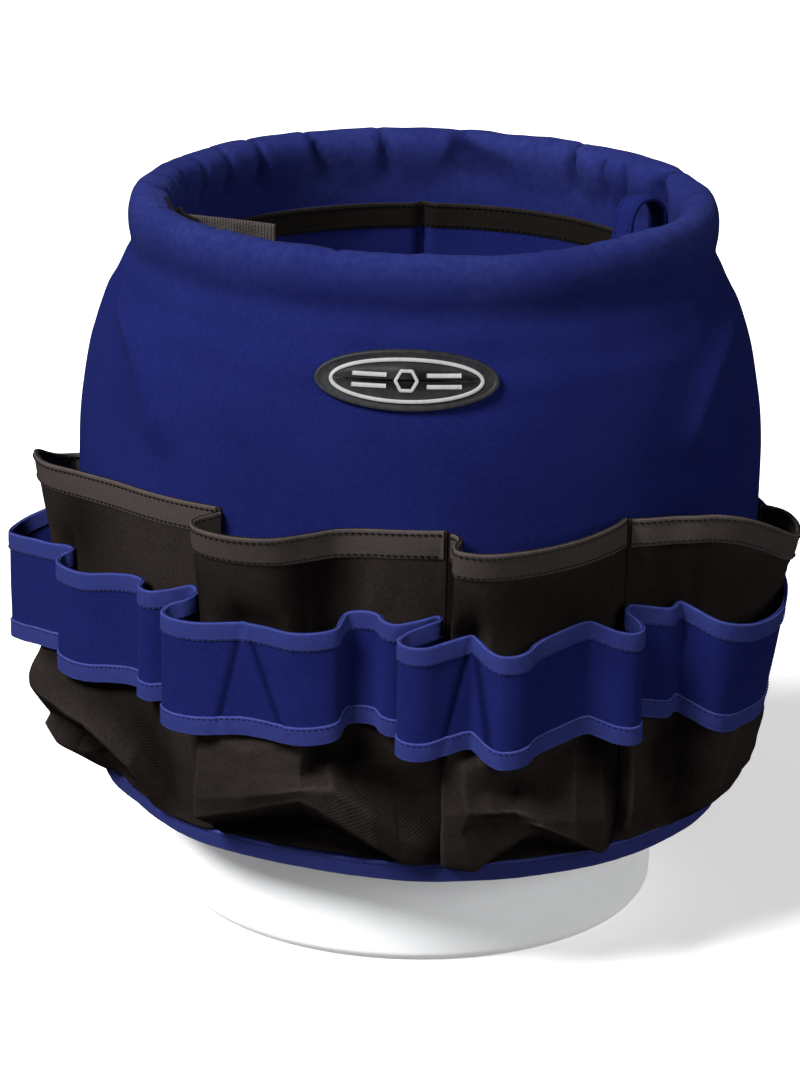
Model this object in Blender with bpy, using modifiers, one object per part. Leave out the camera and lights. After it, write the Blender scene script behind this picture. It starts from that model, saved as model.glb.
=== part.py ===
"""Fabric tool organizer on a plastic pail.

A navy skirt hangs outside the pail, turns over its lip in a padded roll and goes down inside as a
liner. Dark pockets and a strip of tool loops are sewn round the outside of the skirt.

Frame: metres, origin at the centre of the pail's underside, +Z up, -Y to the front (badge side).
Angles are measured from the front towards +X, so a point is (r sin a, -r cos a, z).
"""

import math

import bmesh
import bpy

MM = 0.001
GAP = 0.3 * MM                 # clearance kept between pieces that touch

# Pail
PAIL_HEIGHT = 0.372
PAIL_BASE_RADIUS = 0.131
PAIL_MOUTH_RADIUS = 0.143      # outside of the wall, just under the lip
PAIL_LIP_RADIUS = 0.1485
PAIL_LIP_DEPTH = 0.012
PAIL_HOOP_RADIUS = 0.1465      # the stiffening hoop under the lip
PAIL_HOOP_HEIGHT = 0.336
PAIL_WALL = 2.5 * MM
PAIL_STEPS = 40

# Fabric
TWILL = 1.2 * MM               # one layer of pocket or loop cloth
SKIRT_CLOTH = 2.0 * MM         # the doubled cloth of the skirt, the roll and the liner
TAPE = 2.2 * MM                # folded binding tape over an edge
FRONT = (-90.0, 90.0)
BACK = (90.0, 270.0)
SEAM = 0.05                    # degrees kept free at each side of a side seam

# Skirt: height and mean radius of the middle of its cloth, from the hem to the roll
SKIRT_PROFILE = [
    (0.062, 0.1675), (0.090, 0.1730), (0.130, 0.1760), (0.200, 0.1765), (0.250, 0.1760),
    (0.280, 0.1740), (0.305, 0.1690), (0.325, 0.1625), (0.3455, 0.1540),
]
OVAL = 5.0 * MM                # the skirt is this much narrower in front and wider at the sides
OVAL_FADE = (0.25, 0.34)       # heights over which the oval turns into the pail's circle
HEM_TAPE = 11 * MM

# Roll over the lip and the liner inside, as (radius, height) of the middle of the cloth
ROLL_PROFILE = [
    (0.1534, 0.3460), (0.1540, 0.3600), (0.1538, 0.3740), (0.1505, 0.3825), (0.1455, 0.3840),
    (0.1405, 0.3800), (0.1383, 0.3700), (0.1380, 0.3600),
]
LINER_PROFILE = [(0.1380, 0.3597), (0.1370, 0.3200), (0.1345, 0.2500), (0.1325, 0.1800)]
LINER_SPAN = 82.0              # degrees each side of the front or the back: it is slit at the sides
LINER_POCKET_SPAN = 68.0
LINER_POCKET_HEIGHTS = (0.205, 0.347)
LINER_POCKET_DEPTH = 10 * MM

# Outer pockets
POCKET_BOTTOM = 0.0755
POCKET_TAPE = 15 * MM
SEAT = 2.5 * MM                # stand-off of a pocket's cloth where it is sewn to the skirt
WAIST_FULLNESS = 0.62          # share of the mouth's stand-off that is left behind the tool loops
WAIST_TOP = 0.215
WAIST_BELOW_MOUTH = 0.026
FULLNESS = [(POCKET_BOTTOM, 0.0), (0.088, 0.35), (0.105, 0.56), (0.125, WAIST_FULLNESS)]

# Each front pocket: height of its mouth at the left and the right, then the line of the mouth as
# (angle, stand-off in mm). The fullness above scales the stand-off further down.
FRONT_POCKETS = {
    "outer_pocket_front_1": (0.244, 0.2535, [
        (-84.5, 2.5), (-83.5, 12), (-79.5, 23), (-74, 22), (-67, 11), (-59, 4), (-50, 2.6), (-37.8, 2.5)]),
    "outer_pocket_front_2": (0.252, 0.252, [
        (-35.2, 2.5), (-35.4, 9), (-36.6, 18), (-36.4, 27), (-33, 35), (-28, 37), (-22, 33),
        (-17, 18), (-13, 6), (-8, 2.6), (4.0, 2.5)]),
    "outer_pocket_front_3": (0.251, 0.251, [
        (5.2, 2.5), (6.0, 7), (6.2, 14), (5.2, 24), (5.8, 33), (9.5, 38), (15, 35), (22, 27),
        (29, 16), (34, 7), (35.5, 2.5)]),
    "outer_pocket_front_4": (0.250, 0.226, [
        (36.6, 2.5), (39, 7), (43, 12), (47, 21), (53, 31), (60, 34), (67, 31), (73, 24), (78, 12),
        (80.5, 2.5)]),
}
BACK_POCKET_EDGES = (96.0, 264.0)
BACK_POCKET_COUNT = 4
BACK_POCKET_LINE = [
    (0.0, 2.5), (0.03, 12), (0.15, 23), (0.35, 27), (0.65, 27), (0.85, 23), (0.97, 12), (1.0, 2.5),
]
BACK_SIDE_POCKET_LINE = [         # the two that start at a side seam lie flat next to it
    (0.0, 2.5), (0.12, 3.5), (0.25, 7), (0.42, 15), (0.62, 22), (0.85, 22), (0.97, 12), (1.0, 2.5),
]
BACK_POCKET_MOUTH = 0.251

# Tool loops: one strip sewn down at intervals. Each loop is (start, end, stand-off in mm).
FRONT_LOOPS = [
    (-92, -72.5, 14), (-71.5, -50.5, 11), (-49.5, -39.8, 10), (-38.8, -27.8, 8), (-26.8, -12.6, 8),
    (-11.8, -5.2, 0.6), (-4.4, 7.6, 11), (8.4, 26.6, 9), (27.4, 34.6, 9), (35.4, 43.8, 9),
    (44.6, 61.4, 9), (62.4, 87.4, 9),
]
BACK_LOOP_COUNT = 8
BACK_LOOP_EDGES = (88.6, 267.0)
BACK_LOOP_STAND_OFF = 10
LOOP_SEAT = 2.1 * MM           # middle of the strip over the middle of the pocket cloth
LOOP_TOP = 0.211               # height of the strip's top edge where it lies on the skirt
LOOP_DROOP = 0.45              # the strip hangs lower the further out it stands
LOOP_DROOP_FROM = 0.175
LOOP_HEIGHT = 0.060
LOOP_TAPE = 10 * MM
LOOP_TAPE_GAP = 2.5 * GAP      # wider, because the strip's edges climb and fall
LOOP_COLUMNS = 8
LOOP_LEAN = 0.12               # how far the strip's fold overhangs its stitching, as a share

# Badge on the front of the skirt
BADGE_ANGLE = -2.7
BADGE_HEIGHT = 0.3265
BADGE_HALF_SIZE = (0.0445, 0.0145)
BADGE_THICKNESS = 2.4 * MM
EMBLEM_THICKNESS = 0.8 * MM
EMBLEM_HALF_SIZE = (0.038, 0.0105)
EMBLEM_WIDTH = 0.16            # of the half size
EMBLEM_OPENING = 24.0          # degrees left open at the bottom, each side of the middle

# Webbing end and tie strap inside the mouth
TAB_WIDTH = 0.025
TAB_THICKNESS = 1.8 * MM
TAB_TOPS = (0.387, 0.380)      # height of its upper edge at the free end and at the fixed end
TAB_PATH = [
    (-0.1315, -0.0232), (-0.1260, -0.0459), (-0.1143, -0.0660), (-0.0973, -0.0816), (-0.0748, -0.0957),
]
TIE_WIDTH = 0.020
TIE_THICKNESS = 2.0 * MM
TIE_FOOT = (0.112, -0.045, 0.354)   # middle between the feet of the tie strap's arch
TIE_SPREAD = 0.022             # across the arch
TIE_RISE = 0.038


def clear_scene():
    """Remove what the file opened with."""
    for item in list(bpy.data.objects):
        bpy.data.objects.remove(item, do_unlink=True)


def new_collection(name):
    collection = bpy.data.collections.new(name)
    bpy.context.scene.collection.children.link(collection)
    return collection


def principled(name, colour, roughness):
    """A material with one Principled BSDF."""
    material = bpy.data.materials.new(name)
    material.use_nodes = True
    shader = material.node_tree.nodes["Principled BSDF"]
    shader.inputs["Base Color"].default_value = (*colour, 1.0)
    shader.inputs["Roughness"].default_value = roughness
    shader.inputs["Metallic"].default_value = 0.0
    material.diffuse_color = (*colour, 1.0)
    return material


def smooth_step(value):
    value = min(1.0, max(0.0, value))
    return value * value * (3.0 - 2.0 * value)


def value_between(stations, position):
    """Value at a position, on straight lines between (position, value) stations."""
    if position <= stations[0][0]:
        return stations[0][1]
    for (low, start), (high, end) in zip(stations, stations[1:]):
        if position <= high:
            return start + (end - start) * (position - low) / (high - low)
    return stations[-1][1]


def curve_point(points, share):
    """Point at a share of a Catmull-Rom curve through the points."""
    spans = len(points) - 1
    place = min(share * spans, spans - 1e-9)
    index = int(place)
    t = place - index
    before = points[max(index - 1, 0)]
    start = points[index]
    end = points[index + 1]
    after = points[min(index + 2, spans)]
    return tuple(
        0.5 * (2 * b + (c - a) * t + (2 * a - 5 * b + 4 * c - d) * t * t + (3 * b - a - 3 * c + d) * t ** 3)
        for a, b, c, d in zip(before, start, end, after)
    )


def polar(angle, radius, height):
    turn = math.radians(angle)
    return (radius * math.sin(turn), -radius * math.cos(turn), height)


def skirt_radius(angle, height):
    """Radius of the middle of the skirt's cloth."""
    low, high = OVAL_FADE
    oval = OVAL * (1.0 - smooth_step((height - low) / (high - low)))
    return value_between(SKIRT_PROFILE, height) - oval * math.cos(math.radians(2 * angle))


def finish_object(item, collection, material):
    for user in list(item.users_collection):
        user.objects.unlink(item)
    collection.objects.link(item)
    item.data.materials.append(material)
    return item


def sheet(name, collection, material, surface, columns, rows, thickness):
    """A closed sheet of cloth: a grid laid on surface(u, v), u to the right and v upwards."""
    bpy.ops.mesh.primitive_grid_add(x_subdivisions=columns, y_subdivisions=rows, size=1.0)
    item = bpy.context.object
    item.name = name
    item.data.name = name
    for vertex in item.data.vertices:
        vertex.co = surface(vertex.co.x + 0.5, vertex.co.y + 0.5)
    solid = item.modifiers.new("cloth thickness", "SOLIDIFY")
    solid.thickness = thickness
    solid.offset = 0.0
    solid.use_even_offset = True
    return finish_object(item, collection, material)


def turned(name, collection, material, profile, steps):
    """A closed turned body from a profile of (radius, height) points that ends on the axis."""
    mesh = bpy.data.meshes.new(name)
    outline = bmesh.new()
    corners = [outline.verts.new((radius, 0.0, height)) for radius, height in profile]
    for start, end in zip(corners, corners[1:]):
        outline.edges.new((start, end))
    outline.to_mesh(mesh)
    outline.free()
    item = bpy.data.objects.new(name, mesh)
    bpy.context.scene.collection.objects.link(item)
    screw = item.modifiers.new("turn", "SCREW")
    screw.axis = "Z"
    screw.angle = math.tau
    screw.steps = steps
    screw.render_steps = steps
    screw.use_merge_vertices = True
    screw.merge_threshold = 0.0001
    screw.use_smooth_shade = True
    return finish_object(item, collection, material)


def make_pail(collection, material):
    """The pail, open at the top, with a lip and a stiffening hoop."""
    def wall(height):
        return PAIL_BASE_RADIUS + (PAIL_MOUTH_RADIUS - PAIL_BASE_RADIUS) * height / PAIL_HEIGHT

    floor = 3 * MM
    lip_bottom = PAIL_HEIGHT - PAIL_LIP_DEPTH
    hoop_bottom = PAIL_HOOP_HEIGHT - 3 * MM
    chamfer = 3 * MM
    profile = [
        (0.0, floor),
        (wall(floor) - PAIL_WALL, floor),
        (wall(PAIL_HEIGHT) - PAIL_WALL, PAIL_HEIGHT),
        (PAIL_LIP_RADIUS - MM, PAIL_HEIGHT),
        (PAIL_LIP_RADIUS, PAIL_HEIGHT - MM),
        (PAIL_LIP_RADIUS, lip_bottom),
        (wall(lip_bottom), lip_bottom),
        (wall(PAIL_HOOP_HEIGHT), PAIL_HOOP_HEIGHT),
        (PAIL_HOOP_RADIUS, PAIL_HOOP_HEIGHT - MM),
        (PAIL_HOOP_RADIUS, hoop_bottom),
        (wall(hoop_bottom), hoop_bottom - MM),
        (wall(chamfer), chamfer),
        (PAIL_BASE_RADIUS - chamfer, 0.0),
        (0.0, 0.0),
    ]
    return turned("pail", collection, material, profile, PAIL_STEPS)


def ring_sheet(name, collection, material, line, span, columns, thickness):
    """A sheet that follows a (radius, height) line round part of the circle."""
    low, high = span

    def surface(u, v):
        radius, height = curve_point(line, v)
        return polar(low + (high - low) * u, radius, height)

    return sheet(name, collection, material, surface, columns, len(line) - 1, thickness)


def make_skirt(collection, cloth, tape):
    """The two outer panels, seamed at the sides, and the tape round their hem."""
    bottom = SKIRT_PROFILE[0][0]
    heights = [height for height, _ in SKIRT_PROFILE]
    for side, (low, high) in (("front", FRONT), ("back", BACK)):
        start, end = low + SEAM, high - SEAM

        def panel(u, v, start=start, end=end):
            angle = start + (end - start) * u
            stations = [(index / (len(heights) - 1), height) for index, height in enumerate(heights)]
            height = max(value_between(stations, v), bottom + HEM_TAPE + GAP)
            return polar(angle, skirt_radius(angle, height), height)

        def hem(u, v, start=start, end=end):
            angle = start + (end - start) * u
            height = bottom + HEM_TAPE * v
            return polar(angle, skirt_radius(angle, height), height)

        sheet("skirt_" + side, collection, cloth, panel, 24, len(heights) - 1, SKIRT_CLOTH)
        sheet("hem_binding_" + side, collection, tape, hem, 24, 1, SKIRT_CLOTH + 2 * MM)


def make_roll_and_liner(collection, cloth, tape):
    """The roll over the lip, and the liner with its pockets inside the pail."""
    liner = list(reversed(LINER_PROFILE))
    bottom, top = LINER_POCKET_HEIGHTS
    tape_height = 14 * MM
    line = [(height, radius) for radius, height in liner]

    for side, middle in (("front", 0.0), ("back", 180.0)):
        edges = (middle - 90.0 + SEAM, middle + 90.0 - SEAM)
        ring_sheet("rim_roll_" + side, collection, cloth, ROLL_PROFILE, edges, 24, SKIRT_CLOTH)
        flap = (middle + LINER_SPAN, middle - LINER_SPAN)
        ring_sheet("liner_" + side, collection, cloth, liner, flap, 18, SKIRT_CLOTH)

        def pocket(u, v, low, high, middle=middle):
            angle = middle + LINER_POCKET_SPAN * (1.0 - 2.0 * u)
            height = low + (high - low) * v
            edge = min(1.0, min(u, 1.0 - u) * 9.0)
            rise = min(1.0, (height - bottom) / 0.02)
            depth = SKIRT_CLOTH + 2 * GAP + LINER_POCKET_DEPTH * smooth_step(edge) * smooth_step(rise)
            return polar(angle, value_between(line, height) - depth, height)

        def panel(u, v):
            return pocket(u, v, bottom, top - tape_height - GAP)

        def binding(u, v):
            return pocket(u, v, top - tape_height, top)

        sheet("liner_pocket_" + side, collection, cloth, panel, 18, 4, TWILL)
        sheet("liner_binding_" + side, collection, tape, binding, 18, 1, TWILL + MM)


def waist_top(mouth):
    """Height where a pocket starts to open out towards its mouth."""
    return min(WAIST_TOP, mouth - WAIST_BELOW_MOUTH)


def pocket_point(line, mouth, share, height):
    """Angle and radius of a pocket's cloth: its mouth line, drawn in towards the hem."""
    angle, stand_off = curve_point(line, share)
    stations = FULLNESS + [(waist_top(mouth), WAIST_FULLNESS), (mouth, 1.0)]
    depth = SEAT + (max(stand_off * MM, SEAT) - SEAT) * value_between(stations, height)
    return angle, skirt_radius(angle, min(height, 0.25)) + depth


def make_pocket(name, collection, cloth, tape, left, right, line):
    """A pocket and the tape over its mouth."""
    columns = 2 * (len(line) - 1)

    def wall(u, v):
        mouth = left + (right - left) * u
        top = mouth - POCKET_TAPE - GAP
        heights = [height for height, _ in FULLNESS] + [waist_top(mouth), top]
        place = v * (len(heights) - 1)
        index = min(int(place + 1e-6), len(heights) - 2)
        height = heights[index] + (heights[index + 1] - heights[index]) * (place - index)
        angle, radius = pocket_point(line, mouth, u, height)
        return polar(angle, radius, height)

    def binding(u, v):
        mouth = left + (right - left) * u
        height = mouth - POCKET_TAPE * (1.0 - v)
        angle, radius = pocket_point(line, mouth, u, height)
        return polar(angle, radius, height)

    sheet(name, collection, cloth, wall, columns, 5, TWILL)
    sheet(name + "_binding", collection, tape, binding, columns, 1, TAPE)


def back_pockets():
    """The back pockets, evenly spaced, as (name, left, right, line)."""
    start, end = BACK_POCKET_EDGES
    width = (end - start) / BACK_POCKET_COUNT
    between = 0.9
    for index in range(BACK_POCKET_COUNT):
        low = start + width * index + between
        high = start + width * (index + 1) - between
        shape = BACK_SIDE_POCKET_LINE if index in (0, BACK_POCKET_COUNT - 1) else BACK_POCKET_LINE
        if index == BACK_POCKET_COUNT - 1:
            shape = [(1.0 - share, depth) for share, depth in reversed(shape)]
        line = [(low + (high - low) * share, depth) for share, depth in shape]
        yield "outer_pocket_back_%d" % (index + 1), BACK_POCKET_MOUTH, BACK_POCKET_MOUTH, line


def all_pockets():
    for name, (left, right, line) in FRONT_POCKETS.items():
        yield name, left, right, line
    yield from back_pockets()


def strip_base():
    """Function of angle: the furthest out that the pockets or the skirt reach behind the strip."""
    level = 0.17
    reach = {}
    window = 2
    for _, _, _, line in all_pockets():
        for step in range(201):
            angle, radius = pocket_point(line, BACK_POCKET_MOUTH, step / 200, level)
            for near in range(-window, window + 1):
                key = round(angle) + near
                reach[key] = max(reach.get(key, 0.0), radius)

    def base(angle):
        low = math.floor(angle)
        bare = skirt_radius(angle, level) + SEAT
        start = max(reach.get(low, 0.0), bare)
        end = max(reach.get(low + 1, 0.0), bare)
        return start + (end - start) * (angle - low)

    return base


def strip_point(base, loop, share):
    """Angle and radius along one loop, from its first stitching to its second."""
    start, end, stand_off = loop
    lean = LOOP_LEAN * math.sin(math.tau * share) * min(1.0, stand_off / 8.0)
    angle = start + (end - start) * (share - lean)
    bulge = math.sin(math.pi * share) ** 0.7 if 0.0 < share < 1.0 else 0.0
    return angle, base(angle) + LOOP_SEAT + stand_off * MM * bulge


def strip_top(radius):
    return LOOP_TOP - LOOP_DROOP * (radius - LOOP_DROOP_FROM)


def make_loops(collection, cloth, tape):
    """The strip of tool loops and the tapes along its two edges."""
    base = strip_base()
    start, end = BACK_LOOP_EDGES
    width = (end - start) / BACK_LOOP_COUNT
    back = [
        (start + width * index + 0.5, start + width * (index + 1) - 0.5, BACK_LOOP_STAND_OFF)
        for index in range(BACK_LOOP_COUNT)
    ]
    for side, loops in (("front", FRONT_LOOPS), ("back", back)):
        for number, loop in enumerate(loops, start=1):
            def wall(u, v, loop=loop):
                angle, radius = strip_point(base, loop, u)
                top = strip_top(radius) - LOOP_TAPE - LOOP_TAPE_GAP
                bottom = strip_top(radius) - LOOP_HEIGHT + LOOP_TAPE + LOOP_TAPE_GAP
                return polar(angle, radius, bottom + (top - bottom) * v)

            sheet("tool_loop_%s_%d" % (side, number), collection, cloth, wall, LOOP_COLUMNS, 1, TWILL)

        for edge, drop in (("top", 0.0), ("bottom", LOOP_HEIGHT - LOOP_TAPE)):
            def binding(u, v, loops=loops, drop=drop):
                place = u * (len(loops) * (LOOP_COLUMNS + 1) - 1)
                index = min(int((place + 1e-4) / (LOOP_COLUMNS + 1)), len(loops) - 1)
                share = min(1.0, (place - index * (LOOP_COLUMNS + 1)) / LOOP_COLUMNS)
                angle, radius = strip_point(base, loops[index], share)
                height = strip_top(radius) - drop - LOOP_TAPE * (1.0 - v)
                return polar(angle, radius, height)

            name = "loop_binding_%s_%s" % (edge, side)
            sheet(name, collection, tape, binding, len(loops) * (LOOP_COLUMNS + 1) - 1, 1, TAPE)


def on_skirt(across, up, lift):
    """Point over the skirt's front, from the badge's centre, raised off the cloth."""
    height = BADGE_HEIGHT + up
    angle = BADGE_ANGLE + math.degrees(across / skirt_radius(0.0, BADGE_HEIGHT))
    return polar(angle, skirt_radius(angle, BADGE_HEIGHT + up) + lift, height)


def make_badge(collection, rubber, grey):
    """The oval badge and the open ring raised on it."""
    lift = SKIRT_CLOTH / 2 + 2 * GAP + BADGE_THICKNESS / 2 + 0.6 * MM

    def plate(u, v):
        x, y = 2 * u - 1, 2 * v - 1
        across = x * math.sqrt(1 - y * y / 2) * BADGE_HALF_SIZE[0]
        up = y * math.sqrt(1 - x * x / 2) * BADGE_HALF_SIZE[1]
        return on_skirt(across, up, lift)

    def ring(u, v):
        turn = math.radians(-90 + EMBLEM_OPENING + (360 - 2 * EMBLEM_OPENING) * (1 - u))
        size = 1.0 - EMBLEM_WIDTH * (1.0 - v)
        across = math.cos(turn) * EMBLEM_HALF_SIZE[0] * size
        up = math.sin(turn) * EMBLEM_HALF_SIZE[1] * size
        return on_skirt(across, up, lift + BADGE_THICKNESS / 2 + EMBLEM_THICKNESS / 2 + 1.5 * GAP)

    sheet("badge_plate", collection, rubber, plate, 8, 6, BADGE_THICKNESS)
    sheet("badge_emblem", collection, grey, ring, 24, 1, EMBLEM_THICKNESS)


def make_inside_straps(collection, webbing, cloth):
    """The webbing end and the tie strap that stand inside the mouth."""
    def tab(u, v):
        x, y = curve_point(TAB_PATH, 1.0 - u)
        top = TAB_TOPS[0] + (TAB_TOPS[1] - TAB_TOPS[0]) * u
        return (x, y, top - TAB_WIDTH * (1.0 - v))

    def tie(u, v):
        turn = math.pi * u
        x = TIE_FOOT[0] - math.cos(turn) * TIE_SPREAD / 2
        y = TIE_FOOT[1] + TIE_WIDTH * (0.5 - v)
        rise = math.sin(turn) ** 0.6 if 0.0 < u < 1.0 else 0.0
        return (x, y, TIE_FOOT[2] + TIE_RISE * rise)

    sheet("webbing_tab", collection, webbing, tab, 10, 1, TAB_THICKNESS)
    sheet("tie_strap", collection, cloth, tie, 12, 1, TIE_THICKNESS)


def main():
    clear_scene()
    parts = new_collection("tool_bucket_organizer")
    white = principled("pail_plastic", (0.86, 0.87, 0.88), 0.35)
    navy = principled("navy_twill", (0.013, 0.017, 0.16), 0.8)
    blue_tape = principled("blue_tape", (0.03, 0.045, 0.36), 0.8)
    dark = principled("dark_twill", (0.022, 0.016, 0.013), 0.85)
    dark_tape = principled("dark_tape", (0.10, 0.075, 0.065), 0.8)
    rubber = principled("badge_rubber", (0.02, 0.02, 0.018), 0.5)
    grey = principled("emblem_grey", (0.48, 0.46, 0.47), 0.45)
    webbing = principled("webbing", (0.05, 0.04, 0.033), 0.75)

    make_pail(parts, white)
    make_skirt(parts, navy, blue_tape)
    make_roll_and_liner(parts, navy, dark_tape)
    for name, left, right, line in all_pockets():
        make_pocket(name, parts, dark, dark_tape, left, right, line)
    make_loops(parts, navy, blue_tape)
    make_badge(parts, rubber, grey)
    make_inside_straps(parts, webbing, navy)


main()
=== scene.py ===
"""Looks of the fabric tool organizer on its plastic pail.

Everything is in metres in the CAD's own frame: origin at the centre of the pail's underside, +Z up,
-Y to the front. Angles run from the front towards +X, so a point is (r sin a, -r cos a, z).
Cloth is a grid of points, rows upwards and columns to the right, that becomes a mesh with a
thickness. The outer pockets sag in a short cloth simulation before that. The last number of each
call of noise() is its seed.
"""

import math

import bpy
import numpy as np
from mathutils import Matrix, Vector


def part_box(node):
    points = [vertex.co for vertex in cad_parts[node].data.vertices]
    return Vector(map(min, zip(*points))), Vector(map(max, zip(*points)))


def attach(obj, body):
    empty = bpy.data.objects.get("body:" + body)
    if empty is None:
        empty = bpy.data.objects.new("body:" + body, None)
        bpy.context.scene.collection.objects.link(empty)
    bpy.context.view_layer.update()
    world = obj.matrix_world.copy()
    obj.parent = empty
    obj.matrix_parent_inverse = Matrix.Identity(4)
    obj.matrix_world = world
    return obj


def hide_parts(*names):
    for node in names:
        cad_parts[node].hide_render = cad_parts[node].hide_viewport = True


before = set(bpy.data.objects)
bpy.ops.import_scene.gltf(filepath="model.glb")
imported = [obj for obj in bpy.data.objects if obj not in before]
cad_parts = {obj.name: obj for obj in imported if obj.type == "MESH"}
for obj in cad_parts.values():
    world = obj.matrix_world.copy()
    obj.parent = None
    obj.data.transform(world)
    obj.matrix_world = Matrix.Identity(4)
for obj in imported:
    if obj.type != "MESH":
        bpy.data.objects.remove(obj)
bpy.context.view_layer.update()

MM = 0.001
LIFTED = "organizer"           # the body that everything sewn to the cover rides on

# Sizes of the CAD, from its frame where the frame says them
PAIL_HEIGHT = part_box("pail")[1].z
HEM_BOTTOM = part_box("hem_binding_front")[0].z
HEM_TAPE = 11 * MM
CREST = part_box("rim_roll_front")[1].z
PAIL_BASE_RADIUS = 0.131
PAIL_MOUTH_RADIUS = 0.143
PAIL_LIP_RADIUS = 0.1485
PAIL_LIP_DEPTH = 0.012
PAIL_HOOP_RADIUS = 0.1465
PAIL_HOOP_HEIGHT = 0.336
PAIL_WALL = 2.5 * MM

# Cloth: thicknesses, and flat sizes that the folds don't change
TWILL = 1.0 * MM
COVER_CLOTH = 1.8 * MM
TAPE = 2.4 * MM
LOOP_TAPE = 2.2 * MM

# Skirt, roll and liner as one profile of (radius, height), from the hem up, over and down inside
SKIRT_PROFILE = [
    (0.1675, 0.062), (0.1730, 0.090), (0.1760, 0.130), (0.1765, 0.200), (0.1760, 0.250),
    (0.1742, 0.280), (0.1700, 0.305), (0.1640, 0.325), (0.1570, 0.342), (0.1532, 0.353),
]
ROLL_PROFILE = [
    (0.1530, 0.359), (0.1545, 0.367), (0.1545, 0.375), (0.1515, 0.3815), (0.1460, 0.3838),
    (0.1410, 0.3815), (0.1385, 0.375), (0.1378, 0.365),
]
LINER_PROFILE = [(0.1374, 0.345), (0.1365, 0.310), (0.1345, 0.250), (0.1325, 0.180)]
SKIRT_RADIUS = 0.175           # roughly, for lengths along a pocket's mouth
SKIRT_TOP = 0.353
ROLL_START = 0.357
FOLDS_END = 0.3565             # the skirt's folds and oval fade out up to here
OVAL = 5 * MM                  # the skirt is wider from side to side than from front to back
OVAL_FADE = (0.25, 0.34)
SHOULDER = 3 * MM              # the sides of the skirt stand out this much more below the roll

# Wedge folds on the inner side of the roll, all the way round
WEDGES = 24
WEDGE_DEPTH = 9.0 * MM

# Soft folds of the skirt: mm that each stands out, its width in degrees, and its line as
# (angle, height)
LEFT_FOLD = [(-86, 0.352), (-70, 0.336), (-61, 0.326), (-55, 0.312), (-50, 0.292), (-48, 0.268)]
RIGHT_FOLD = [(80, 0.345), (68, 0.326), (59, 0.311), (53, 0.292), (50, 0.265)]
SKIRT_FOLDS = [
    (4.0, 6.0, LEFT_FOLD), (1.6, 2.4, LEFT_FOLD), (-1.8, 8.0, [(-42, 0.34), (-40, 0.29), (-38, 0.27)]),
    (3.2, 5.0, RIGHT_FOLD), (1.8, 1.8, RIGHT_FOLD),
    (2.0, 2.0, [(57.5, 0.353), (59, 0.345), (60.5, 0.325)]),
]
BACK_FOLD_ANGLES = (112, 138, 163, -172, -146, -118)

# Outer pockets
POCKET_TOP = 0.25              # over this height the skirt behind a pocket counts as upright
POCKET_TAPE = 15 * MM
SEAT = 1.6 * MM                # a pocket's cloth never comes nearer the middle of the skirt's cloth
NEARER = 0.9 * MM              # the cloth is this much nearer the skirt than its lines say
SEAM_DROOP = 12 * MM           # a mouth hangs lower where it ends near a side seam
SEAM_DROOP_AT = (94.0, 7.0)    # angle and width of that droop
WAIST = 0.62                   # share of the mouth's stand-off that is left behind the tool loops
SIDE_WAIST = 0.28              # and this much more at the right-hand side
SIDE_WAIST_AT = (77.0, 11.0)   # angle and width of that
POCKET_COLUMNS = 78
ROWS_PER_LEVEL = 6             # rows of cloth from one row of fold points to the next
THREAD_SLACK = 1.01            # how much a thread can stretch as the cloth settles

# The hem is drawn in or pushed out here, as (angle, mm)
HEM_SHIFT = [
    (-100, 0), (-90, -3), (-78, -6), (-65, -10), (-52, -7), (-39, -4.5), (-21, -3), (-10, 0),
    (5, 3.5), (19, 4.4), (35, 3.2), (57, -1.5), (72, -3.7), (87, 0), (100, 0),
]
HEM_SHIFT_FADE = (0.070, 0.130)

# Each front pocket: mouth height at the left and the right, and its mouth line as (angle, mm)
FRONT_POCKETS = {
    "outer_pocket_front_1": (0.244, 0.2535, [
        (-94.5, 1.5), (-92.5, 12), (-85.5, 24), (-76.5, 25), (-67.5, 12), (-59, 4), (-50, 2.6),
        (-34.45, 2.5)]),
    "outer_pocket_front_2": (0.252, 0.252, [
        (-34.3, 2.5), (-34.4, 9), (-35.0, 18), (-34.4, 27), (-31.6, 34), (-27, 36.5), (-22, 33),
        (-17, 18), (-13, 6), (-8, 2.6), (4.65, 2.5)]),
    "outer_pocket_front_3": (0.251, 0.251, [
        (4.8, 2.5), (6.0, 7), (6.2, 14), (5.2, 24), (5.8, 33), (9.5, 38), (15, 35), (22, 27),
        (29, 16), (34, 7), (36.0, 2.5)]),
    "outer_pocket_front_4": (0.250, 0.221, [
        (36.15, 2.5), (39, 7), (43, 12), (47, 21), (53, 31), (60, 34), (67, 33), (73.5, 28),
        (80, 18), (85, 2.0)]),
}

SEWN_HEIGHT = 75.5             # where a pocket is sewn down above the hem, in mm
SEWN_DEPTH = 2.5               # its cloth's distance from the skirt's there, in mm


def sewn_at(*angles):
    """The lowest row of a pocket's folds, where it is sewn down."""
    return [(angle, SEWN_HEIGHT, SEWN_DEPTH) for angle in angles]


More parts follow.
